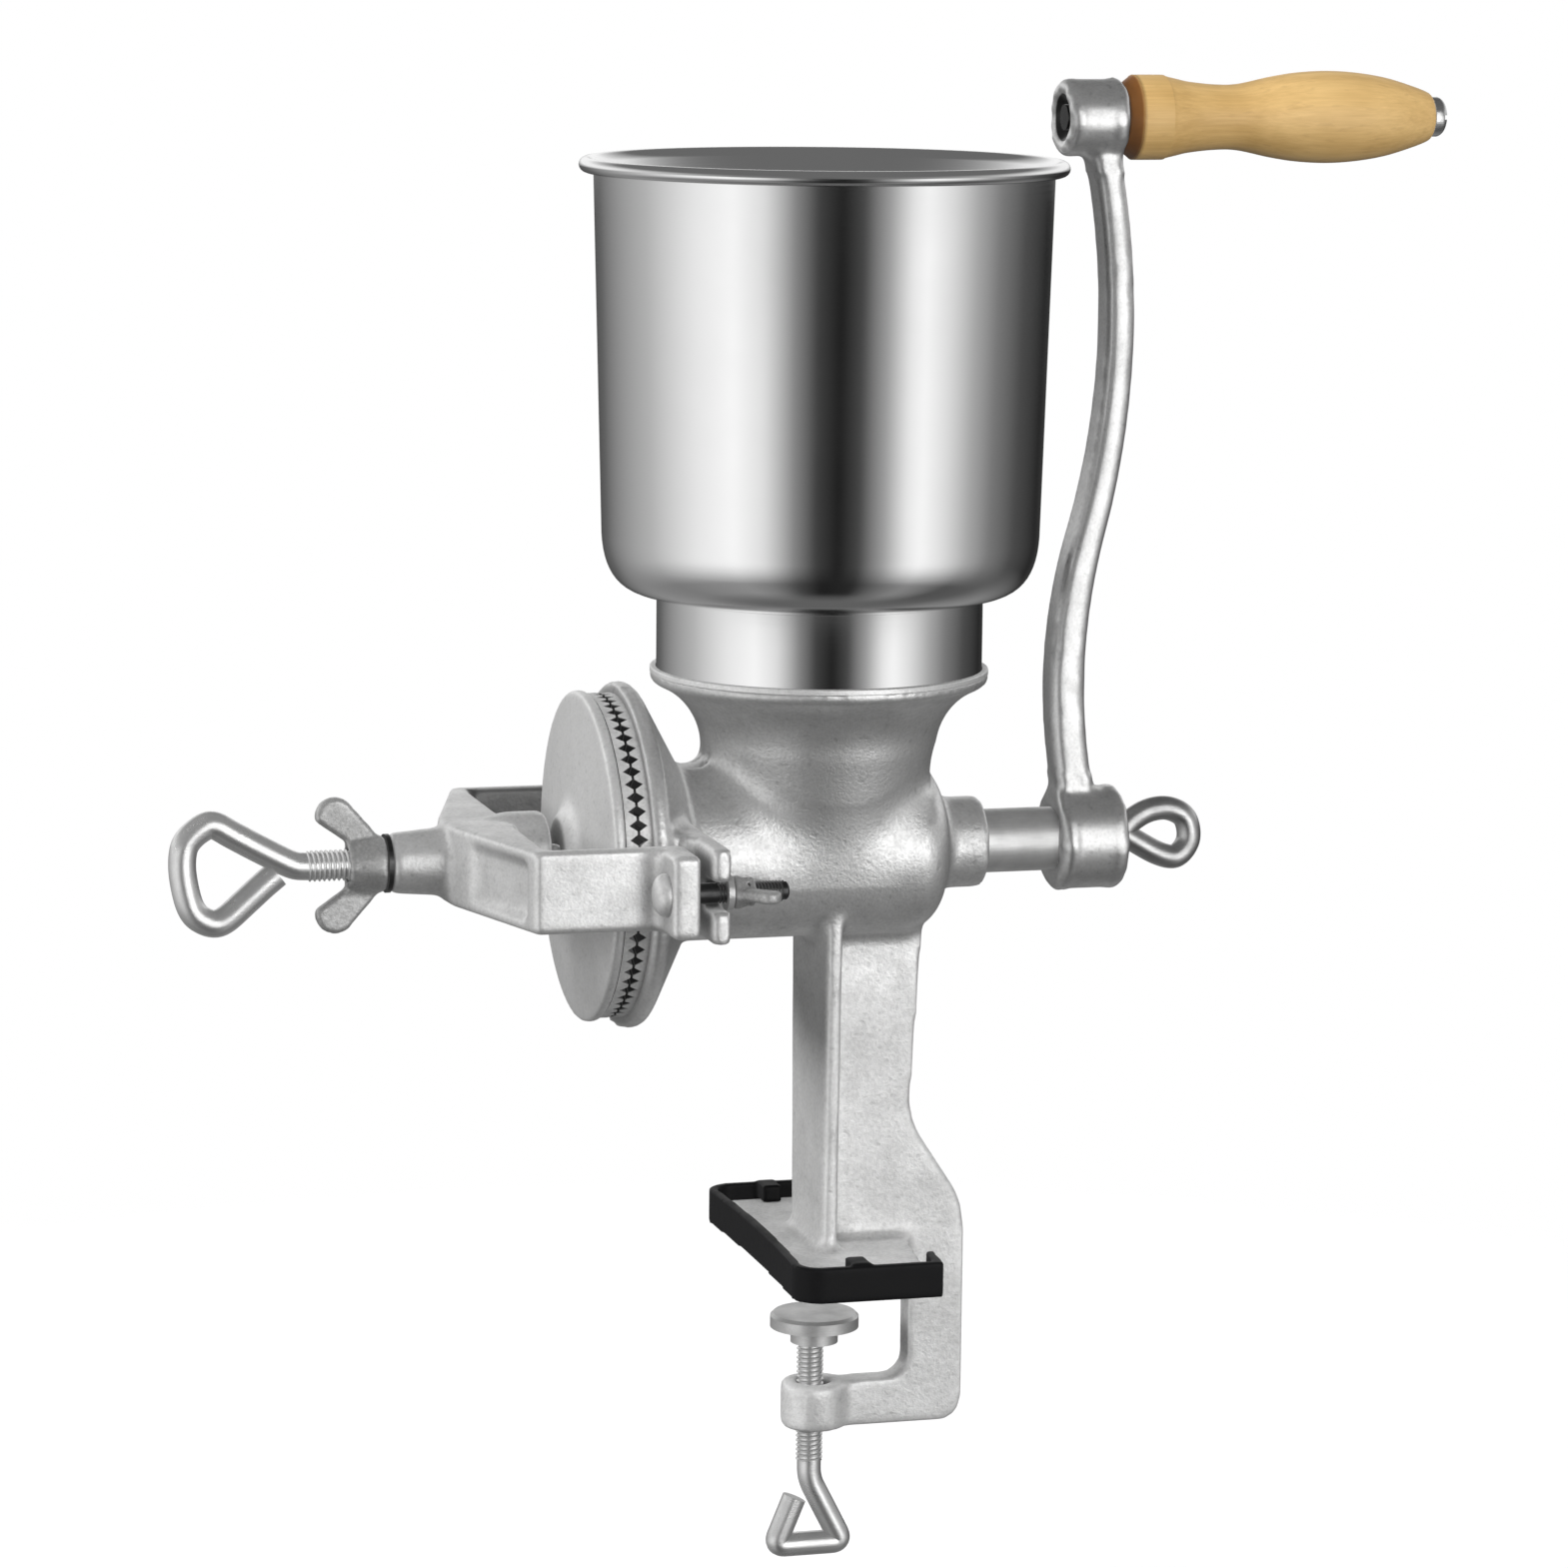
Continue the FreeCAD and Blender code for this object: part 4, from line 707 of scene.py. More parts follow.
    def relax(self, piece: bpy.types.Object, chosen: Callable[[Vector], bool], repeat: int) -> None:
        """Smooth the part of a piece whose points are chosen.

        Args:
            piece: The piece.
            chosen: Says of a point whether it may move.
            repeat: How many times the points are smoothed.
        """
        self.pick(piece)
        bpy.ops.object.mode_set(mode="EDIT")
        bpy.ops.mesh.select_mode(type="VERT")
        bpy.ops.mesh.select_all(action="DESELECT")
        bpy.ops.object.mode_set(mode="OBJECT")
        for vertex in piece.data.vertices:
            vertex.select = chosen(vertex.co)
        bpy.ops.object.mode_set(mode="EDIT")
        bpy.ops.mesh.vertices_smooth(factor=0.5, repeat=repeat)
        bpy.ops.object.mode_set(mode="OBJECT")

    def outline(self, name: str, points: Sequence[Vector]) -> bpy.types.Object:
        """Draw a line of edges, one vertex after another, and stay in edit mode.

        Args:
            name: The object's name.
            points: The vertices in order.

        Returns:
            The object that holds the line.
        """
        self.clear()
        bpy.ops.mesh.primitive_plane_add(size=MM)
        piece = bpy.context.object
        piece.name = name
        bpy.ops.object.mode_set(mode="EDIT")
        bpy.ops.mesh.select_all(action="SELECT")
        bpy.ops.mesh.merge(type="CENTER")
        bpy.ops.transform.translate(value=points[0])
        for before, after in zip(points, points[1:]):
            bpy.ops.mesh.extrude_vertices_move(TRANSFORM_OT_translate={"value": after - before})
        return piece

    def lathe(self, name: str, profile: Sequence[Point], axis: Axis, place: Sequence[float],
              steps: int = 96, degrees: float = 32.0) -> bpy.types.Object:
        """Spin an outline about an axis.

        Args:
            name: The piece's name.
            profile: Points along the axis and out from it, end to end.
            axis: The line to spin about.
            place: Where the outline's zero lies.
            steps: Faces round the piece.
            degrees: Edges sharper than this stay sharp.

        Returns:
            The turned piece.
        """
        piece = self.outline(name, [axis.at(along, out) for along, out in profile])
        bpy.ops.mesh.select_all(action="SELECT")
        bpy.ops.mesh.spin(steps=steps, angle=math.tau, center=(0, 0, 0), axis=axis.value)
        self.weld(piece)
        self.settle(piece, place)
        self.smooth(piece, degrees)
        return piece

    def thread(self, name: str, start: float, stop: float, radius: float, pitch: float) -> bpy.types.Object:
        """A screw thread along X about the origin.

        Args:
            name: The piece's name.
            start: Where the thread starts.
            stop: Where it stops.
            radius: Radius at its crest.
            pitch: Distance from crest to crest.

        Returns:
            The threaded sleeve, with closed ends.
        """
        depth = 0.5 * pitch
        shape = [(0.0, -depth), (0.12, -depth), (0.44, 0.0), (0.56, 0.0), (0.88, -depth), (1.0, -depth)]
        points = [Axis.CRANK.at(start + share * pitch, radius + drop) for share, drop in shape]
        piece = self.outline(name, points)
        bpy.ops.object.mode_set(mode="OBJECT")
        turns = max(1, round((stop - start) / pitch) - 1)
        self.apply(piece, "SCREW", axis="X", screw_offset=pitch, iterations=turns, steps=32,
                   render_steps=32, use_merge_vertices=True, merge_threshold=WELD)
        self.pick(piece)
        bpy.ops.object.mode_set(mode="EDIT")
        bpy.ops.mesh.select_all(action="SELECT")
        bpy.ops.mesh.remove_doubles(threshold=WELD)
        bpy.ops.mesh.region_to_loop()
        bpy.ops.mesh.edge_face_add()
        bpy.ops.mesh.select_all(action="SELECT")
        bpy.ops.mesh.normals_make_consistent(inside=False)
        bpy.ops.object.mode_set(mode="OBJECT")
        self.smooth(piece, 20.0)
        return piece

    def path(self, name: str, points: Sequence[Vector]) -> bpy.types.Object:
        """A smooth open line that follows its points.

        Args:
            name: The line's name.
            points: The points to follow.

        Returns:
            The curve.
        """
        self.clear()
        bpy.ops.curve.primitive_nurbs_path_add()
        line = bpy.context.object
        line.name = name
        spline = line.data.splines[0]
        spline.points.add(len(points) - len(spline.points))
        for spot, point in zip(spline.points, points):
            spot.co = (*point, 1.0)
        spline.order_u = 3
        spline.use_endpoint_u = True
        spline.resolution_u = 10
        return line

    def rod(self, name: str, points: Sequence[Vector], radius: float) -> bpy.types.Object:
        """A round rod along a smooth line.

        Args:
            name: The rod's name.
            points: The points that its middle follows.
            radius: The rod's radius.

        Returns:
            The rod, with closed ends.
        """
        line = self.path(name, points)
        line.data.bevel_depth = radius
        line.data.bevel_resolution = 8
        line.data.use_fill_caps = True
        self.pick(line)
        bpy.ops.object.convert(target="MESH")
        piece = bpy.context.object
        self.weld(piece)
        self.smooth(piece, 40.0)
        return piece


def arc(start: Point, bend: Point, stop: Point, count: int = 10) -> list[Point]:
    """Points of a curve that leaves start towards bend and reaches stop from bend.

    Args:
        start: The first point.
        bend: The corner that the curve rounds off.
        stop: The last point.
        count: Steps from start to stop.

    Returns:
        The points in order.
    """
    points = []
    for step in range(count + 1):
        share = step / count
        first, middle, last = (1 - share) ** 2, 2 * share * (1 - share), share ** 2
        points.append(tuple(first * a + middle * b + last * c for a, b, c in zip(start, bend, stop)))
    return points


def flowing(points: Sequence[Point], count: int = 6) -> list[Point]:
    """Points of a smooth line through all the given points.

    Args:
        points: The points to pass through.
        count: Steps from each point to the next.

    Returns:
        The points of the line in order.
    """
    ends = [points[0], *points, points[-1]]
    line = []
    for before, start, stop, after in zip(ends, ends[1:], ends[2:], ends[3:]):
        for step in range(count):
            t = step / count
            line.append(tuple(
                0.5 * (2 * b + (c - a) * t + (2 * a - 5 * b + 4 * c - d) * t ** 2
                       + (3 * b - a - 3 * c + d) * t ** 3)
                for a, b, c, d in zip(before, start, stop, after)))
    return [*line, tuple(points[-1])]


def eased(points: Sequence[Vector], reach: float) -> list[Vector]:
    """Put a point before and after each inner corner, so that only the corner is rounded.

    Args:
        points: The corners, with both ends.
        reach: Distance of the new points from their corner.

    Returns:
        All the points in order.
    """
    line = [points[0]]
    for before, corner, after in zip(points, points[1:], points[2:]):
        line += [corner + (before - corner).normalized() * reach, corner,
                 corner + (after - corner).normalized() * reach]
    return [*line, points[-1]]


@dataclass
class Hopper:
    """The sheet bowl with its rolled rim, and the collar that it stands on."""

    bench: Bench
    finishes: Finishes
    sheet: float = 1.0 * MM
    floor_radius: float = 52.5 * MM
    low_radius: float = 67.5 * MM
    wall_radius: float = 70.5 * MM
    mouth_radius: float = 46.4 * MM
    corner_rise: float = 18 * MM
    bead: float = 2.3 * MM
    roll_start: float = -118.0
    roll_step: float = 19.0
    roll_points: int = 15
    collar_edge: float = 0.8 * MM
    sides: int = 160
    sharp: float = 40.0

    def bowl(self) -> bpy.types.Object:
        """Turn the bowl from its floor up to the bead of its rim, and down inside.

        Returns:
            The bowl.
        """
        low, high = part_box("hopper_bowl")
        rim = high.z - low.z
        bead_low = rim - 2 * self.bead
        corner_out = arc((0.0, self.floor_radius), (0.0, self.low_radius - MM),
                         (self.corner_rise, self.low_radius), 14)
        inner = self.sheet
        corner_in = [(z + inner * (1 - z / self.corner_rise), r - inner * z / self.corner_rise)
                     for z, r in corner_out]
        roll_middle = (rim - self.bead, high.x - self.bead)
        roll = [(roll_middle[0] + self.bead * math.sin(turn), roll_middle[1] + self.bead * math.cos(turn))
                for turn in (math.radians(self.roll_start + self.roll_step * step)
                             for step in range(self.roll_points))]
        outside = [(0.0, self.mouth_radius), *corner_out, (bead_low, self.wall_radius)]
        inside = [(rim - self.bead * 1.2, self.wall_radius - inner), *reversed(corner_in),
                  (inner, self.mouth_radius), (0.0, self.mouth_radius)]
        return self.bench.lathe("hopper_bowl_skin", outside + roll + inside, Axis.UPRIGHT,
                                (0, 0, low.z), self.sides, self.sharp)

    def collar(self) -> bpy.types.Object:
        """Turn the collar with its flange under the bowl.

        Returns:
            The collar.
        """
        low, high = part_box("hopper_collar")
        tall = high.z - low.z
        radius = high.x
        soft = self.collar_edge
        inner = radius - self.sheet
        top = arc((tall - soft, radius), (tall, radius), (tall, radius - soft), 4)
        profile = [(0.0, inner), (0.0, radius), *top, (tall, self.mouth_radius),
                   (tall - self.sheet, self.mouth_radius), (tall - self.sheet, inner), (0.0, inner)]
        return self.bench.lathe("hopper_collar_skin", profile, Axis.UPRIGHT, (0, 0, low.z),
                                self.sides, self.sharp)

    def build(self) -> None:
        """Make both sheets."""
        self.finishes.dress(self.bowl(), Slot.SHEET, "hopper", "hopper_bowl")
        self.finishes.dress(self.collar(), Slot.SHEET, "hopper", "hopper_collar")


@dataclass(frozen=True)
class CastRecipe:
    """How a node becomes a casting: its cells, inner fillet, smoothing, outer edge and finish."""

    node: str
    body: str
    slot: Slot
    voxel: float
    fillet: float
    soften: int
    edge: float = 0.0
    variant: Optional[str] = None


@dataclass
class Castings:
    """The pieces that come out of a mould."""

    bench: Bench
    finishes: Finishes
    lip_height: float = 2.6 * MM
    lip_wall: float = 1.8 * MM
    lip_soft: float = 0.5 * MM
    lip_gap: float = 0.2 * MM
    lip_sides: int = 160
    lip_sharp: float = 40.0
    axis_height: float = 131 * MM
    barrel_radius: float = 27.5 * MM
    neck_foot: float = 27 * MM
    neck_spread: float = 0.288
    join_band: float = 9 * MM
    join_depth: float = 1.5 * MM
    join_drop: float = 8 * MM
    join_side: float = 5 * MM
    join_repeats: int = 100

    def lip(self) -> None:
        """Turn the crisp edge of the neck, from the collar's side to the lip's."""
        _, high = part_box("mill_body")
        _, collar_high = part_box("hopper_collar")
        inner = collar_high.x + self.lip_gap
        outer = inner + self.lip_wall
        tall, soft = self.lip_height, self.lip_soft
        edge = arc((tall - soft, outer), (tall, outer), (tall, outer - soft), 4)
        profile = [(0.0, inner), (0.0, outer - MM), (MM, outer), *edge, (tall, inner), (0.0, inner)]
        piece = self.bench.lathe("mill_body_lip", profile, Axis.UPRIGHT, (0, 0, high.z - tall),
                                 self.lip_sides, self.lip_sharp)
        self.finishes.dress(piece, Slot.CASTING, "mill_frame", variant="disc")

    def join(self, piece: bpy.types.Object) -> None:
        """Let the neck flow into the barrel at the front and the rear.

        Args:
            piece: The body's casting.
        """
        def near(spot: Vector) -> bool:
            """Whether a point is close to the line where both skins meet.

            Args:
                spot: The point.

            Returns:
                True where the point may move.
            """
            rise = spot.z - self.axis_height
            from_barrel = math.hypot(spot.y, rise) - self.barrel_radius
            from_neck = math.hypot(spot.x, spot.y) - self.neck_foot - self.neck_spread * rise
            outside = min(from_barrel, from_neck) > -self.join_depth
            close = max(from_barrel, from_neck) < self.join_band
            return outside and close and rise > -self.join_drop and abs(spot.y) > self.join_side

        self.bench.relax(piece, near, self.join_repeats)

    def build(self) -> None:
        """Give each casting its fillets and soft edges."""
        self.lip()
        draw_nuts = [f"{side}_wing_nut" for side in ("front", "rear")]
        recipes = (
            CastRecipe("mill_body", "mill_frame", Slot.CASTING, 1.18 * MM, 1.6 * MM, 4, variant="body"),
            CastRecipe("yoke", "mill_frame", Slot.CASTING, 0.8 * MM, 1.6 * MM, 4, 0.8 * MM, "yoke"),
            CastRecipe("rotating_disc", "grinding_disc", Slot.CASTING, 0.7 * MM, 1.2 * MM, 10,
                       variant="disc"),
            CastRecipe("foot_boot", "mill_frame", Slot.RUBBER, 0.6 * MM, 0.0, 5),
            CastRecipe("lock_wing_nut", "lock_wing_nut", Slot.CASTING, 0.45 * MM, 1.0 * MM, 8, 1.2 * MM,
                       "lock_nut"),
            *(CastRecipe(nut, nut, Slot.CASTING, 0.35 * MM, 0.8 * MM, 8, 0.7 * MM, "draw_nut")
              for nut in draw_nuts),
        )
        for recipe in recipes:
            piece = self.bench.copy(recipe.node, f"{recipe.node}_cast")
            self.bench.cast(piece, recipe.voxel, recipe.fillet, recipe.soften, recipe.edge)
            if recipe.node == "mill_body":
                self.join(piece)
            self.finishes.dress(piece, recipe.slot, recipe.body, recipe.node, variant=recipe.variant)


@dataclass
class Grinder:
    """The disc, the burrs and the feed screw."""

    bench: Bench
    finishes: Finishes
    tooth_sharp: float = 9.0
    turned_sharp: float = 28.0

    def build(self) -> None:
        """Shade the turned pieces smooth and leave the teeth sharp."""
        for node, body, slot in (
                ("rotating_burr", "grinding_disc", Slot.BURR),
                ("stationary_burr", "mill_frame", Slot.BURR),
                ("rotating_burr_screws", "grinding_disc", Slot.DARK),
                ("stationary_burr_screws", "mill_frame", Slot.DARK),
                ("feed_screw", "crank", Slot.STEEL),
                ("drive_pin", "crank", Slot.STEEL),
                ("thrust_ball", "thrust_ball", Slot.STEEL)):
            sharp = self.tooth_sharp if slot is Slot.BURR else self.turned_sharp
            piece = self.bench.machined(node, f"{node}_turned", sharp)
            self.finishes.dress(piece, slot, body, node, variant="satin" if node == "feed_screw" else None)


@dataclass
class EyeScrew:
    """A screw whose end is bent into a closed eye, made along X and then turned into place.

    The eye's points are millimetres along the screw's heading from its root, and across it.
    """

    bench: Bench
    finishes: Finishes
    node: str
    body: str
    root: Vector
    turn: Matrix
    rod: float
    eye: Sequence[Point]
    ease: float
    tip: float
    thread_end: float
    pitch: float = 1.5 * MM
    variant: Optional[str] = None
    core_share: float = 0.97
    crest_share: float = 1.12
    overlap: float = 5 * MM
    sides: int = 48

    def build(self) -> None:
        """Bend the rod, cut the thread and set both in place."""
        spots = self.eye if self.ease else flowing(self.eye, 4)
        corners = [Vector((along, 0, across)) * MM for along, across in spots]
        loop = eased(corners, self.ease) if self.ease else corners
        bent = self.bench.rod(f"{self.node}_eye", loop, self.rod)
        core = self.rod * self.core_share
        shank = self.bench.lathe(f"{self.node}_shank", [
            (self.tip, 0.0), (self.tip, core * 0.82), (self.tip + core * 0.25, core), (-self.overlap, core),
            (-self.overlap, 0.0)], Axis.CRANK, (0, 0, 0), self.sides)
        parts = [bent, shank]
        if self.thread_end > self.tip:
            parts.append(self.bench.thread(f"{self.node}_thread", self.tip + core * 0.3, self.thread_end,
                                           self.rod * self.crest_share, self.pitch))
        piece = self.bench.join(f"{self.node}_bent", parts)
        piece.matrix_world = Matrix.Translation(self.root) @ self.turn
        self.bench.pick(piece)
        bpy.ops.object.transform_apply(location=True, rotation=True, scale=True)
        self.finishes.dress(piece, Slot.STEEL, self.body, self.node, variant=self.variant)


@dataclass
class Fasteners:
    """Bolts, washers and the clamp's pad."""

    bench: Bench
    finishes: Finishes
    head: float = 6.5 * MM
    dome: float = 4.2 * MM
    shank: float = 3.15 * MM
    pitch: float = 1.0 * MM
    thread_length: float = 22 * MM
    tail: float = 0.6 * MM
    head_sides: int = 64
    head_sharp: float = 50.0
    stem_sides: int = 48

    def draw_bolt(self, side: str) -> None:
        """Turn a bolt's domed head and dark shank, and cut the thread of its tail.

        Args:
            side: Front or rear.
        """
        node = f"{side}_draw_bolt"
        low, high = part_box(node)
        place = (low.x, (low.y + high.y) / 2, (low.z + high.z) / 2)
        dome = arc((0.0, 0.0), (0.0, self.head), (self.dome, self.head), 12)
        head = self.bench.lathe(f"{node}_head", [*dome, (self.dome, 0.0)], Axis.CRANK, place,
                                self.head_sides, self.head_sharp)
        self.finishes.dress(head, Slot.STEEL, "mill_frame", variant="disc")
        long = high.x - low.x
        core = self.shank - 0.4 * self.pitch
        thread_start = long - self.thread_length
        thread_stop = long - self.tail
        stem = [(self.dome - MM, 0.0), (self.dome - MM, self.shank), (thread_start, self.shank),
                (thread_start, core), (thread_stop, core), (long, core * 0.75), (long, 0.0)]
        shank = self.bench.lathe(f"{node}_stem", stem, Axis.CRANK, (0, 0, 0), self.stem_sides)
        thread = self.bench.thread(f"{node}_thread", thread_start, thread_stop, self.shank, self.pitch)
        piece = self.bench.join(f"{node}_shank", [shank, thread])
        self.bench.settle(piece, place)
        self.finishes.dress(piece, Slot.DARK, "mill_frame", node)

    def build(self) -> None:
        """Make the bolts and shade the other small pieces smooth."""
        pieces = [("lock_washer", Slot.DARK, None), ("clamp_pad", Slot.STEEL, "satin")]
        for side in ("front", "rear"):
            self.draw_bolt(side)
            pieces.append((f"{side}_draw_washer", Slot.STEEL, "draw_nut"))
        for node, slot, variant in pieces:
            piece = self.bench.machined(node, f"{node}_turned")
            self.finishes.dress(piece, slot, node, node, variant=variant)


@dataclass
class Crank:
    """The S-shaped arm with its two bosses, and the grip on its spindle."""

    bench: Bench
    finishes: Finishes
    shank_foot: float = 37 * MM
    shank_head: float = 29 * MM
    shank_repeats: int = 40
    arm_voxel: float = 0.8 * MM
    arm_fillet: float = 2.4 * MM
    arm_edge: float = 2.6 * MM
    arm_soften: int = 10
    grip_bore: float = 4.2 * MM
    grip_sides: int = 96
    grip_sharp: float = 50.0

    def arm(self) -> None:
        """Soften the arm as one casting, and round its shank between the bosses."""
        piece = self.bench.copy("crank_arm", "crank_arm_cast")
        self.bench.cast(piece, self.arm_voxel, self.arm_fillet, self.arm_soften, self.arm_edge)
        low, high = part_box("crank_arm")
        shank_low, shank_high = low.z + self.shank_foot, high.z - self.shank_head
        self.bench.relax(piece, lambda spot: shank_low < spot.z < shank_high, self.shank_repeats)
        self.finishes.dress(piece, Slot.CRANK, "crank", "crank_arm")

    def grip(self) -> None:
        """Turn the grip from its stained collar over waist and belly to its rounded end."""
        low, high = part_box("grip")
        long = high.x - low.x
        bore = self.grip_bore
        middle = (low.z + high.z) / 2
        collar = [(0.0, 10.3), (0.5, 10.7), (3.4, 12.85), (4.4, 13.1), (12.4, 13.1), (13.3, 13.0),
                  (14.2, 12.65)]
        waist = [(17.5, 11.9), (22, 10.95), (30.7, 10.1), (38.3, 10.3)]
        belly = [(49, 12.5), (57.8, 13.8), (67.5, 14.3), (77.3, 13.75), (87, 12.2)]
        end = [(95.7, 9.7), (100.4, 8.0), (101.7, 7.1), (long / MM, 6.2)]
        outline = [(along * MM, out * MM) for along, out in collar + waist + belly + end]
        profile = [(0.0, bore), *flowing(outline), (long, bore), (0.0, bore)]
        piece = self.bench.lathe("grip_turned", profile, Axis.CRANK, (low.x, 0, middle),
                                 self.grip_sides, self.grip_sharp)
        self.finishes.dress(piece, Slot.BEECH, "grip", "grip")

    def build(self) -> None:
        """Make the arm, the grip and its spindle."""
        self.arm()
        self.grip()
        spindle = self.bench.machined("grip_spindle", "grip_spindle_turned")
        self.finishes.dress(spindle, Slot.DARK, "crank", "grip_spindle", variant="spindle")


@dataclass
class Studio:
    """A pale floor, soft lamps, reflecting walls and the camera at the photograph's angle."""

    azimuth: float = math.radians(15.6)
    elevation: float = math.radians(8.9)
    roll: float = math.radians(0.606)
    distance: float = 1.706
    target: Vector = Vector((-0.01095, 0.0, 0.16533))
    picture: int = 1569
    focal_pixels: float = 5512.8
    drop_pixels: float = 45.0
    sensor: float = 36.0
    floor_radius: float = 0.6
    floor_gap: float = 2 * MM
    wall_radius: float = 3.4

    def forward(self) -> Vector:
        """The camera's looking direction before it is tipped."""
        level = math.cos(self.elevation)
        return Vector((math.sin(self.azimuth) * level, math.cos(self.azimuth) * level,
                       -math.sin(self.elevation)))

    def camera(self) -> None:
        """Set the camera, tipped a little so that the whole clamp screw is in the picture."""
        ahead = self.forward()
        place = self.target - ahead * self.distance
        turn = ahead.to_track_quat("-Z", "Y").to_matrix()
        tip = math.atan(self.drop_pixels / self.focal_pixels)
        turn = turn @ Matrix.Rotation(self.roll, 3, "Z") @ Matrix.Rotation(-tip, 3, "X")
        bpy.ops.object.camera_add(location=place, rotation=turn.to_euler())
        eye = bpy.context.object
        eye.data.sensor_width = self.sensor
        eye.data.lens = self.focal_pixels / self.picture * self.sensor
        eye.data.clip_end = 100.0
        bpy.context.scene.camera = eye

    def around(self, right: float, up: float, far: float) -> Vector:
        """A place round the object.

        Args:
            right: Degrees to the right of the camera.
            up: Degrees above the horizon.
            far: Distance from the object.

        Returns:
            The place.
        """
        bearing = math.pi + self.azimuth - math.radians(right)
        level = math.cos(math.radians(up))
        return self.target + far * Vector((math.sin(bearing) * level, math.cos(bearing) * level,
                                           math.sin(math.radians(up))))

    def lamp(self, name: str, right: float, up: float, far: float, size: float, watts: float,
             spared: str = "") -> None:
        """Hang a square soft lamp that points at the object.

        Args:
            name: The lamp's name.
            right: Degrees to the right of the camera.
            up: Degrees above the horizon.
            far: Distance from the object.
            size: The lamp's edge.
            watts: Its power.
            spared: Start of the names of the pieces that it leaves dark. Such a lamp shows in reflections.
        """
        place = self.around(right, up, far)
        turn = (self.target - place).to_track_quat("-Z", "Y").to_euler()
        bpy.ops.object.light_add(type="AREA", location=place, rotation=turn)
        lamp = bpy.context.object
        lamp.name = name
        lamp.data.size = size
        lamp.data.energy = watts
        lamp.visible_glossy = bool(spared)
        if spared:
            lit = bpy.data.collections.new(f"lit_by_{name}")
            for piece in bpy.context.scene.objects:
                if piece.type == "MESH" and not piece.name.startswith(spared):
                    lit.objects.link(piece)
            lamp.light_linking.receiver_collection = lit

    def walls(self) -> None:
        """A dome that only reflections see, with the light and dark strips of a studio."""
        bpy.ops.mesh.primitive_uv_sphere_add(segments=96, ring_count=48, radius=self.wall_radius)
        ring = bpy.context.object
        ring.name = "studio_walls"
        ring.visible_camera = False
        ring.visible_diffuse = False
        ring.visible_shadow = False
        ring.visible_transmission = False
        strips = ((-180, 0.05), (-150, 0.12), (-99, 0.46), (-67, 0.84), (-46, 1.0), (-30, 0.78),
                  (-14, 0.24), (-3, 0.05), (9, 0.01), (20, 0.06), (33, 0.36), (45, 0.86), (53, 1.0),
                  (66, 0.76), (82, 0.40), (98, 0.19), (120, 0.07), (150, 0.02), (180, 0.05))
        paint = Paint("studio_walls")
        spot = paint.node("ShaderNodeTexCoord", output="Object")
        turned = paint.node("ShaderNodeMapping", inputs={
            "Vector": spot, "Rotation": (0.0, 0.0, math.pi / 2 + self.azimuth)})
        share = paint.node("ShaderNodeTexGradient", {"gradient_type": "RADIAL"}, {"Vector": turned})
        upper = ((-180, 0.95), (-120, 0.85), (-75, 0.45), (-40, 0.20), (0, 0.12), (40, 0.20), (80, 0.40),
                 (120, 0.80), (180, 0.95))
        lower = ((-180, 0.30), (-125, 0.22), (-99, 0.20), (-67, 0.24), (-46, 0.27), (-30, 0.20), (-14, 0.06),
                 (0, 0.012), (20, 0.02), (33, 0.12), (53, 0.24), (66, 0.18), (82, 0.08), (110, 0.10),
                 (140, 0.20), (180, 0.30))
        height = paint.along("Z") * (1 / self.wall_radius)
        level, above, below = (
            paint.node("ShaderNodeValToRGB", {"stops": [
                ((180 + right) / 360, (grey, grey, grey)) for right, grey in row]}, {"Fac": share})
            for row in (strips, upper, lower))
        crown, nadir = (0.14, 0.14, 0.14), (0.12, 0.12, 0.12)
        for start, full, colour in ((0.03, 0.18, above), (0.34, 0.60, crown),
                                    (-0.24, -0.58, below), (-0.80, -0.97, nadir)):
            level = paint.mix(height.within(start, full), level, colour)
        glow = paint.node("ShaderNodeEmission", inputs={"Color": level, "Strength": 1.0})
        paint.feed(paint.tree.nodes["Material Output"].inputs["Surface"], glow)
        ring.data.materials.append(paint.material)
        ring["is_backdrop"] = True

    def floor(self, height: float) -> None:
        """A pale floor that keeps the shadow and fades into the surround.

        Args:
            height: Where the floor lies.
        """
        bpy.ops.mesh.primitive_circle_add(vertices=96, radius=self.floor_radius, fill_type="NGON",
                                          location=(0, 0, height))
        bpy.ops.object.transform_apply(location=True, rotation=True, scale=True)
        floor = bpy.context.object
        floor.name = "studio_floor"
        floor.visible_glossy = False
        floor.visible_diffuse = False
        paint = Paint("studio_floor")
        far = paint.away((1, 1, 0))
        seen = paint.node("ShaderNodeLightPath", output="Is Camera Ray")
        paint.finish(base_color=(0.50, 0.50, 0.50), roughness=0.9, emission_color=(1.0, 1.0, 1.0),
                     emission_strength=seen * 0.70)
        fade = far.within(0.35 * self.floor_radius, 0.95 * self.floor_radius)
        surface = paint.node("ShaderNodeMixShader", inputs={
            0: fade, 1: Socket(paint, paint.shader.outputs[0]),
            2: paint.node("ShaderNodeBsdfTransparent")})
        paint.feed(paint.tree.nodes["Material Output"].inputs["Surface"], surface)
        floor.data.materials.append(paint.material)
        floor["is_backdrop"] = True

    def sky(self) -> None:
        """A white surround for the eye and for reflections, and a softer one as light."""
        world = bpy.data.worlds.new("studio_sky")
        bpy.context.scene.world = world
        world.use_nodes = True
        tree = world.node_tree
        ray = tree.nodes.new("ShaderNodeLightPath")
        back = tree.nodes["Background"]
        back.inputs["Color"].default_value = (1.0, 1.0, 1.0, 1.0)
        mirror = tree.nodes.new("ShaderNodeMath")
        mirror.operation = "MAXIMUM"
        tree.links.new(ray.outputs["Is Camera Ray"], mirror.inputs[0])
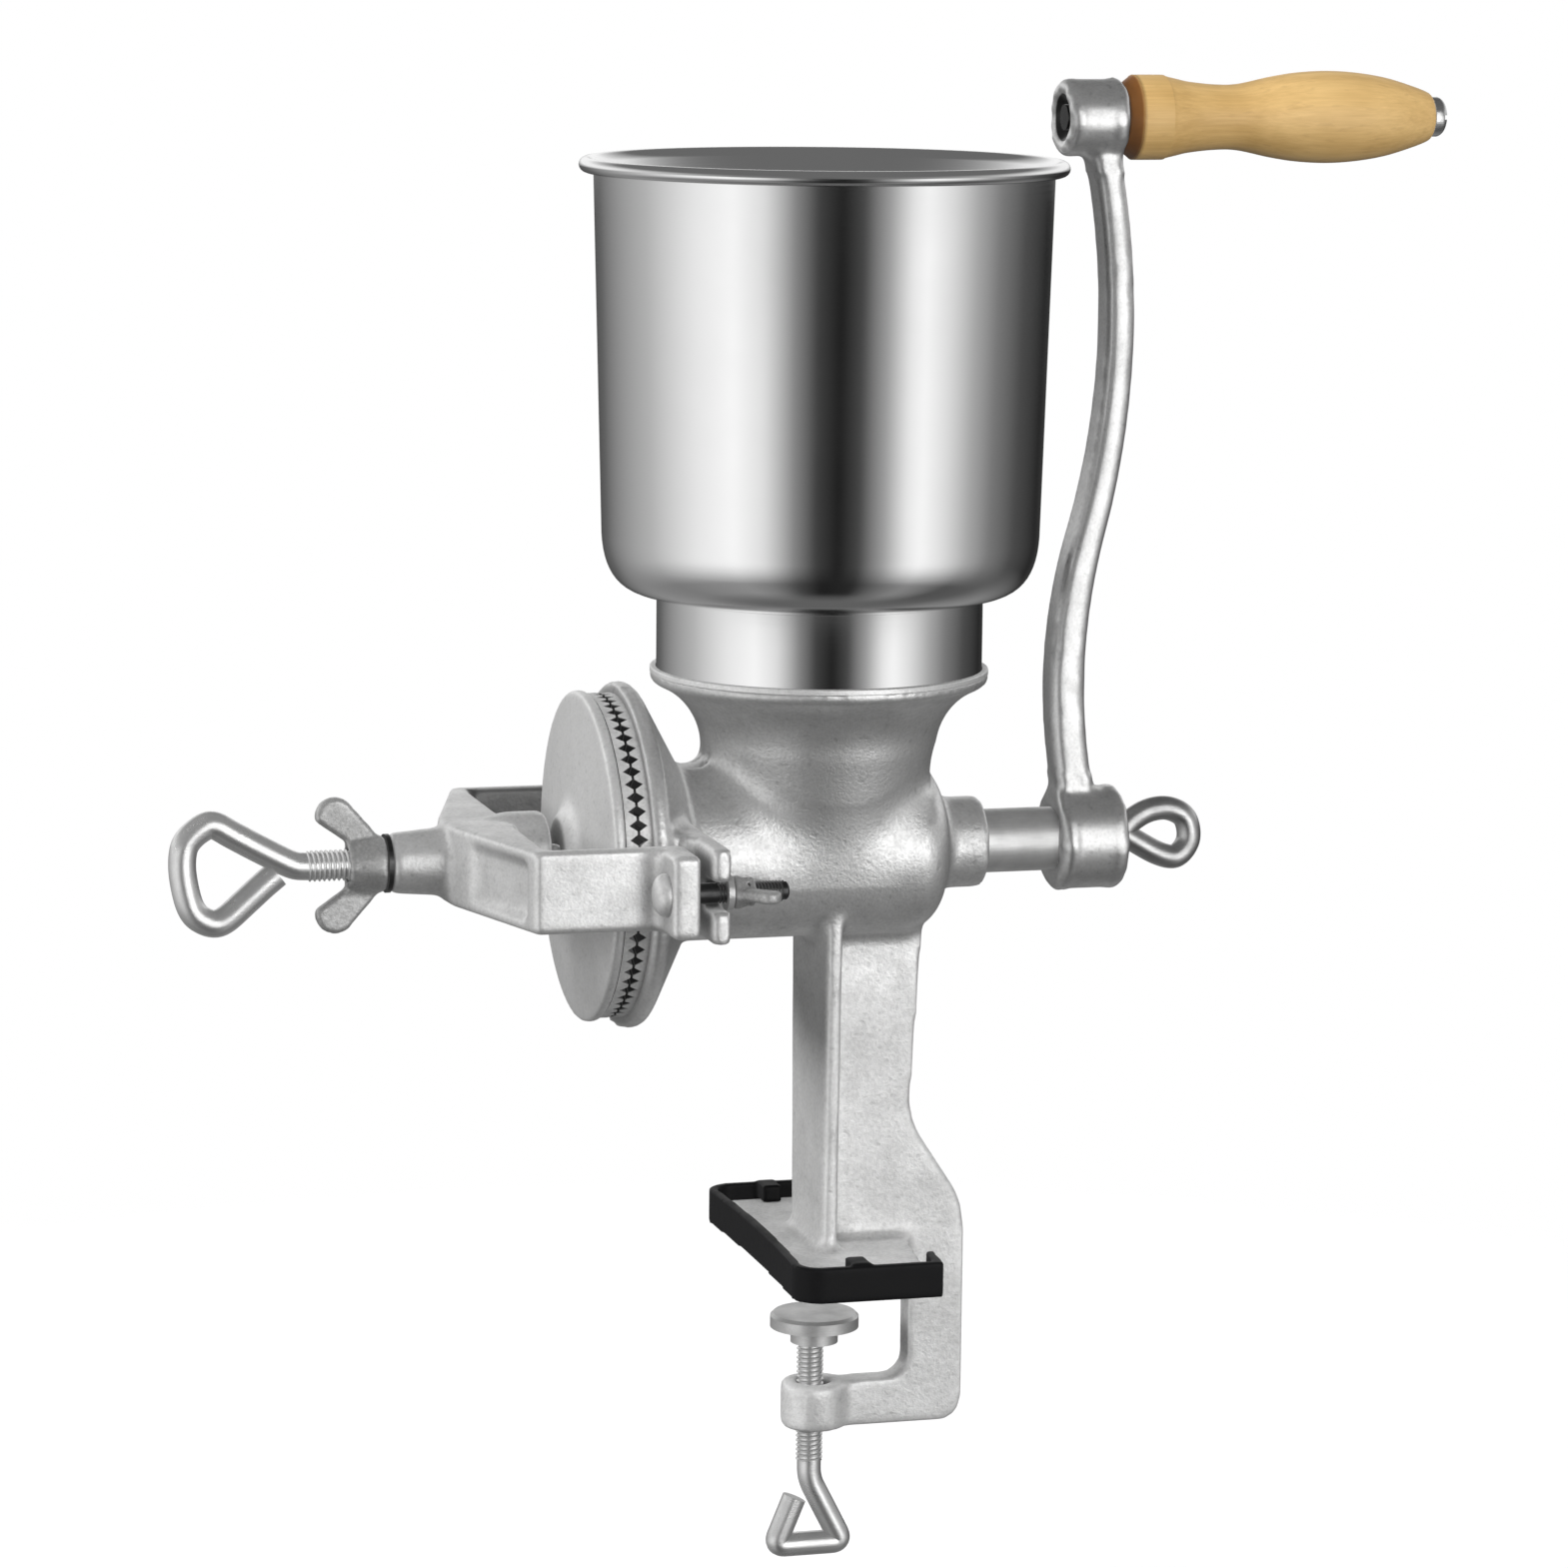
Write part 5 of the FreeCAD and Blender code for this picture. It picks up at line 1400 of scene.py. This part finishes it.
        tree.links.new(ray.outputs["Is Glossy Ray"], mirror.inputs[1])
        clear = tree.nodes.new("ShaderNodeMath")
        clear.operation = "MAXIMUM"
        tree.links.new(mirror.outputs[0], clear.inputs[0])
        tree.links.new(ray.outputs["Is Transmission Ray"], clear.inputs[1])
        level = tree.nodes.new("ShaderNodeMapRange")
        level.inputs["To Min"].default_value = 0.08
        level.inputs["To Max"].default_value = 1.0
        tree.links.new(clear.outputs[0], level.inputs["Value"])
        tree.links.new(level.outputs[0], back.inputs["Strength"])

    def build(self, lowest: float) -> None:
        """Set the scene round the object.

        Args:
            lowest: The lowest point that the object reaches.
        """
        bpy.context.scene.view_settings.view_transform = "Standard"
        self.camera()
        self.floor(lowest - self.floor_gap)
        self.lamp("front_lamp", right=32.0, up=5.0, far=1.9, size=1.6, watts=11.0, spared="hopper")
        self.lamp("fill_lamp", right=30.0, up=18.0, far=1.9, size=1.0, watts=16.0)
        self.lamp("left_lamp", right=-64.0, up=48.0, far=2.0, size=0.8, watts=17.0)
        self.lamp("low_lamp", right=-84.0, up=13.0, far=2.0, size=0.8, watts=32.0)
        self.lamp("top_lamp", right=10.0, up=72.0, far=1.8, size=1.0, watts=1.5)
        self.lamp("back_lamp", right=165.0, up=40.0, far=2.2, size=1.2, watts=6.0)
        self.walls()
        self.sky()


def eye_screws(bench: Bench, finishes: Finishes) -> Iterable[EyeScrew]:
    """Place the three eye screws from the boxes of their nodes.

    Args:
        bench: The modelling steps.
        finishes: The mill's finishes.

    Returns:
        The screws, one after another.
    """
    ring_low, ring_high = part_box("lock_washer")
    axis_height = (ring_low.z + ring_high.z) / 2
    nut_low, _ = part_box("lock_wing_nut")
    _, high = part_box("adjusting_screw")
    root = Vector((nut_low.x - 6.2 * MM, 0, axis_height))
    yield EyeScrew(
        bench, finishes, "adjusting_screw", "adjusting_screw", root, Matrix.Rotation(math.pi, 4, "Z"),
        rod=4.25 * MM, ease=0.0, tip=root.x - high.x, thread_end=-3.5 * MM,
        eye=((-8, 0), (-3, 0), (1.4, 0.8), (10.8, 5.7), (19.3, 10.5), (25.0, 13.7), (29.0, 12.5), (33.0, 8.9),
             (34.4, 4.7), (34.4, -1.2), (33.0, -8.6), (31.2, -12.9), (28.6, -15.3), (24.9, -16.6),
             (21.2, -15.3), (15.2, -10.1), (10.0, -5.5), (5.6, -1.9)))
    low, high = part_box("crank_eye_screw")
    root = Vector((high.x - 29.6 * MM, 0, axis_height))
    yield EyeScrew(
        bench, finishes, "crank_eye_screw", "crank_eye_screw", root, Matrix.Identity(4),
        rod=3.8 * MM, ease=0.0, tip=low.x - root.x, thread_end=low.x - root.x - MM, variant="worn",
        eye=((-6, 0), (-2, 0), (1.5, 1.0), (5.5, 4.8), (11, 7.7), (17.5, 8.2), (23.2, 5.0), (24.6, -2.0),
             (20.6, -7.2), (14.5, -6.2), (6.5, -1.8), (2.5, 0.6)))
    low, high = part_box("clamp_screw")
    root = Vector(((low.x + high.x) / 2, 0, low.z + 26.8 * MM))
    yield EyeScrew(
        bench, finishes, "clamp_screw", "clamp_screw", root, Matrix.Rotation(math.pi / 2, 4, "Y"),
        rod=3.8 * MM, ease=7 * MM, tip=root.z - high.z, thread_end=-4 * MM,
        eye=((-6, 0), (1.5, 0), (23, 11), (23, -11), (7.6, -4.7)))


def main() -> None:
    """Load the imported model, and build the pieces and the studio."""
    logging.basicConfig(level=logging.INFO, format="%(message)s")
    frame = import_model()
    cad_low, cad_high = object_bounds()
    bench = Bench(frame)
    finishes = Finishes()
    Castings(bench, finishes).build()
    Hopper(bench, finishes).build()
    Grinder(bench, finishes).build()
    Fasteners(bench, finishes).build()
    Crank(bench, finishes).build()
    for screw in eye_screws(bench, finishes):
        screw.build()
    shaft_low, shaft_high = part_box("feed_screw")
    sweep_low = shaft_low.z + shaft_high.z - cad_high.z
    Studio().build(min(cad_low.z, sweep_low))


if __name__ == "__main__":
    main()
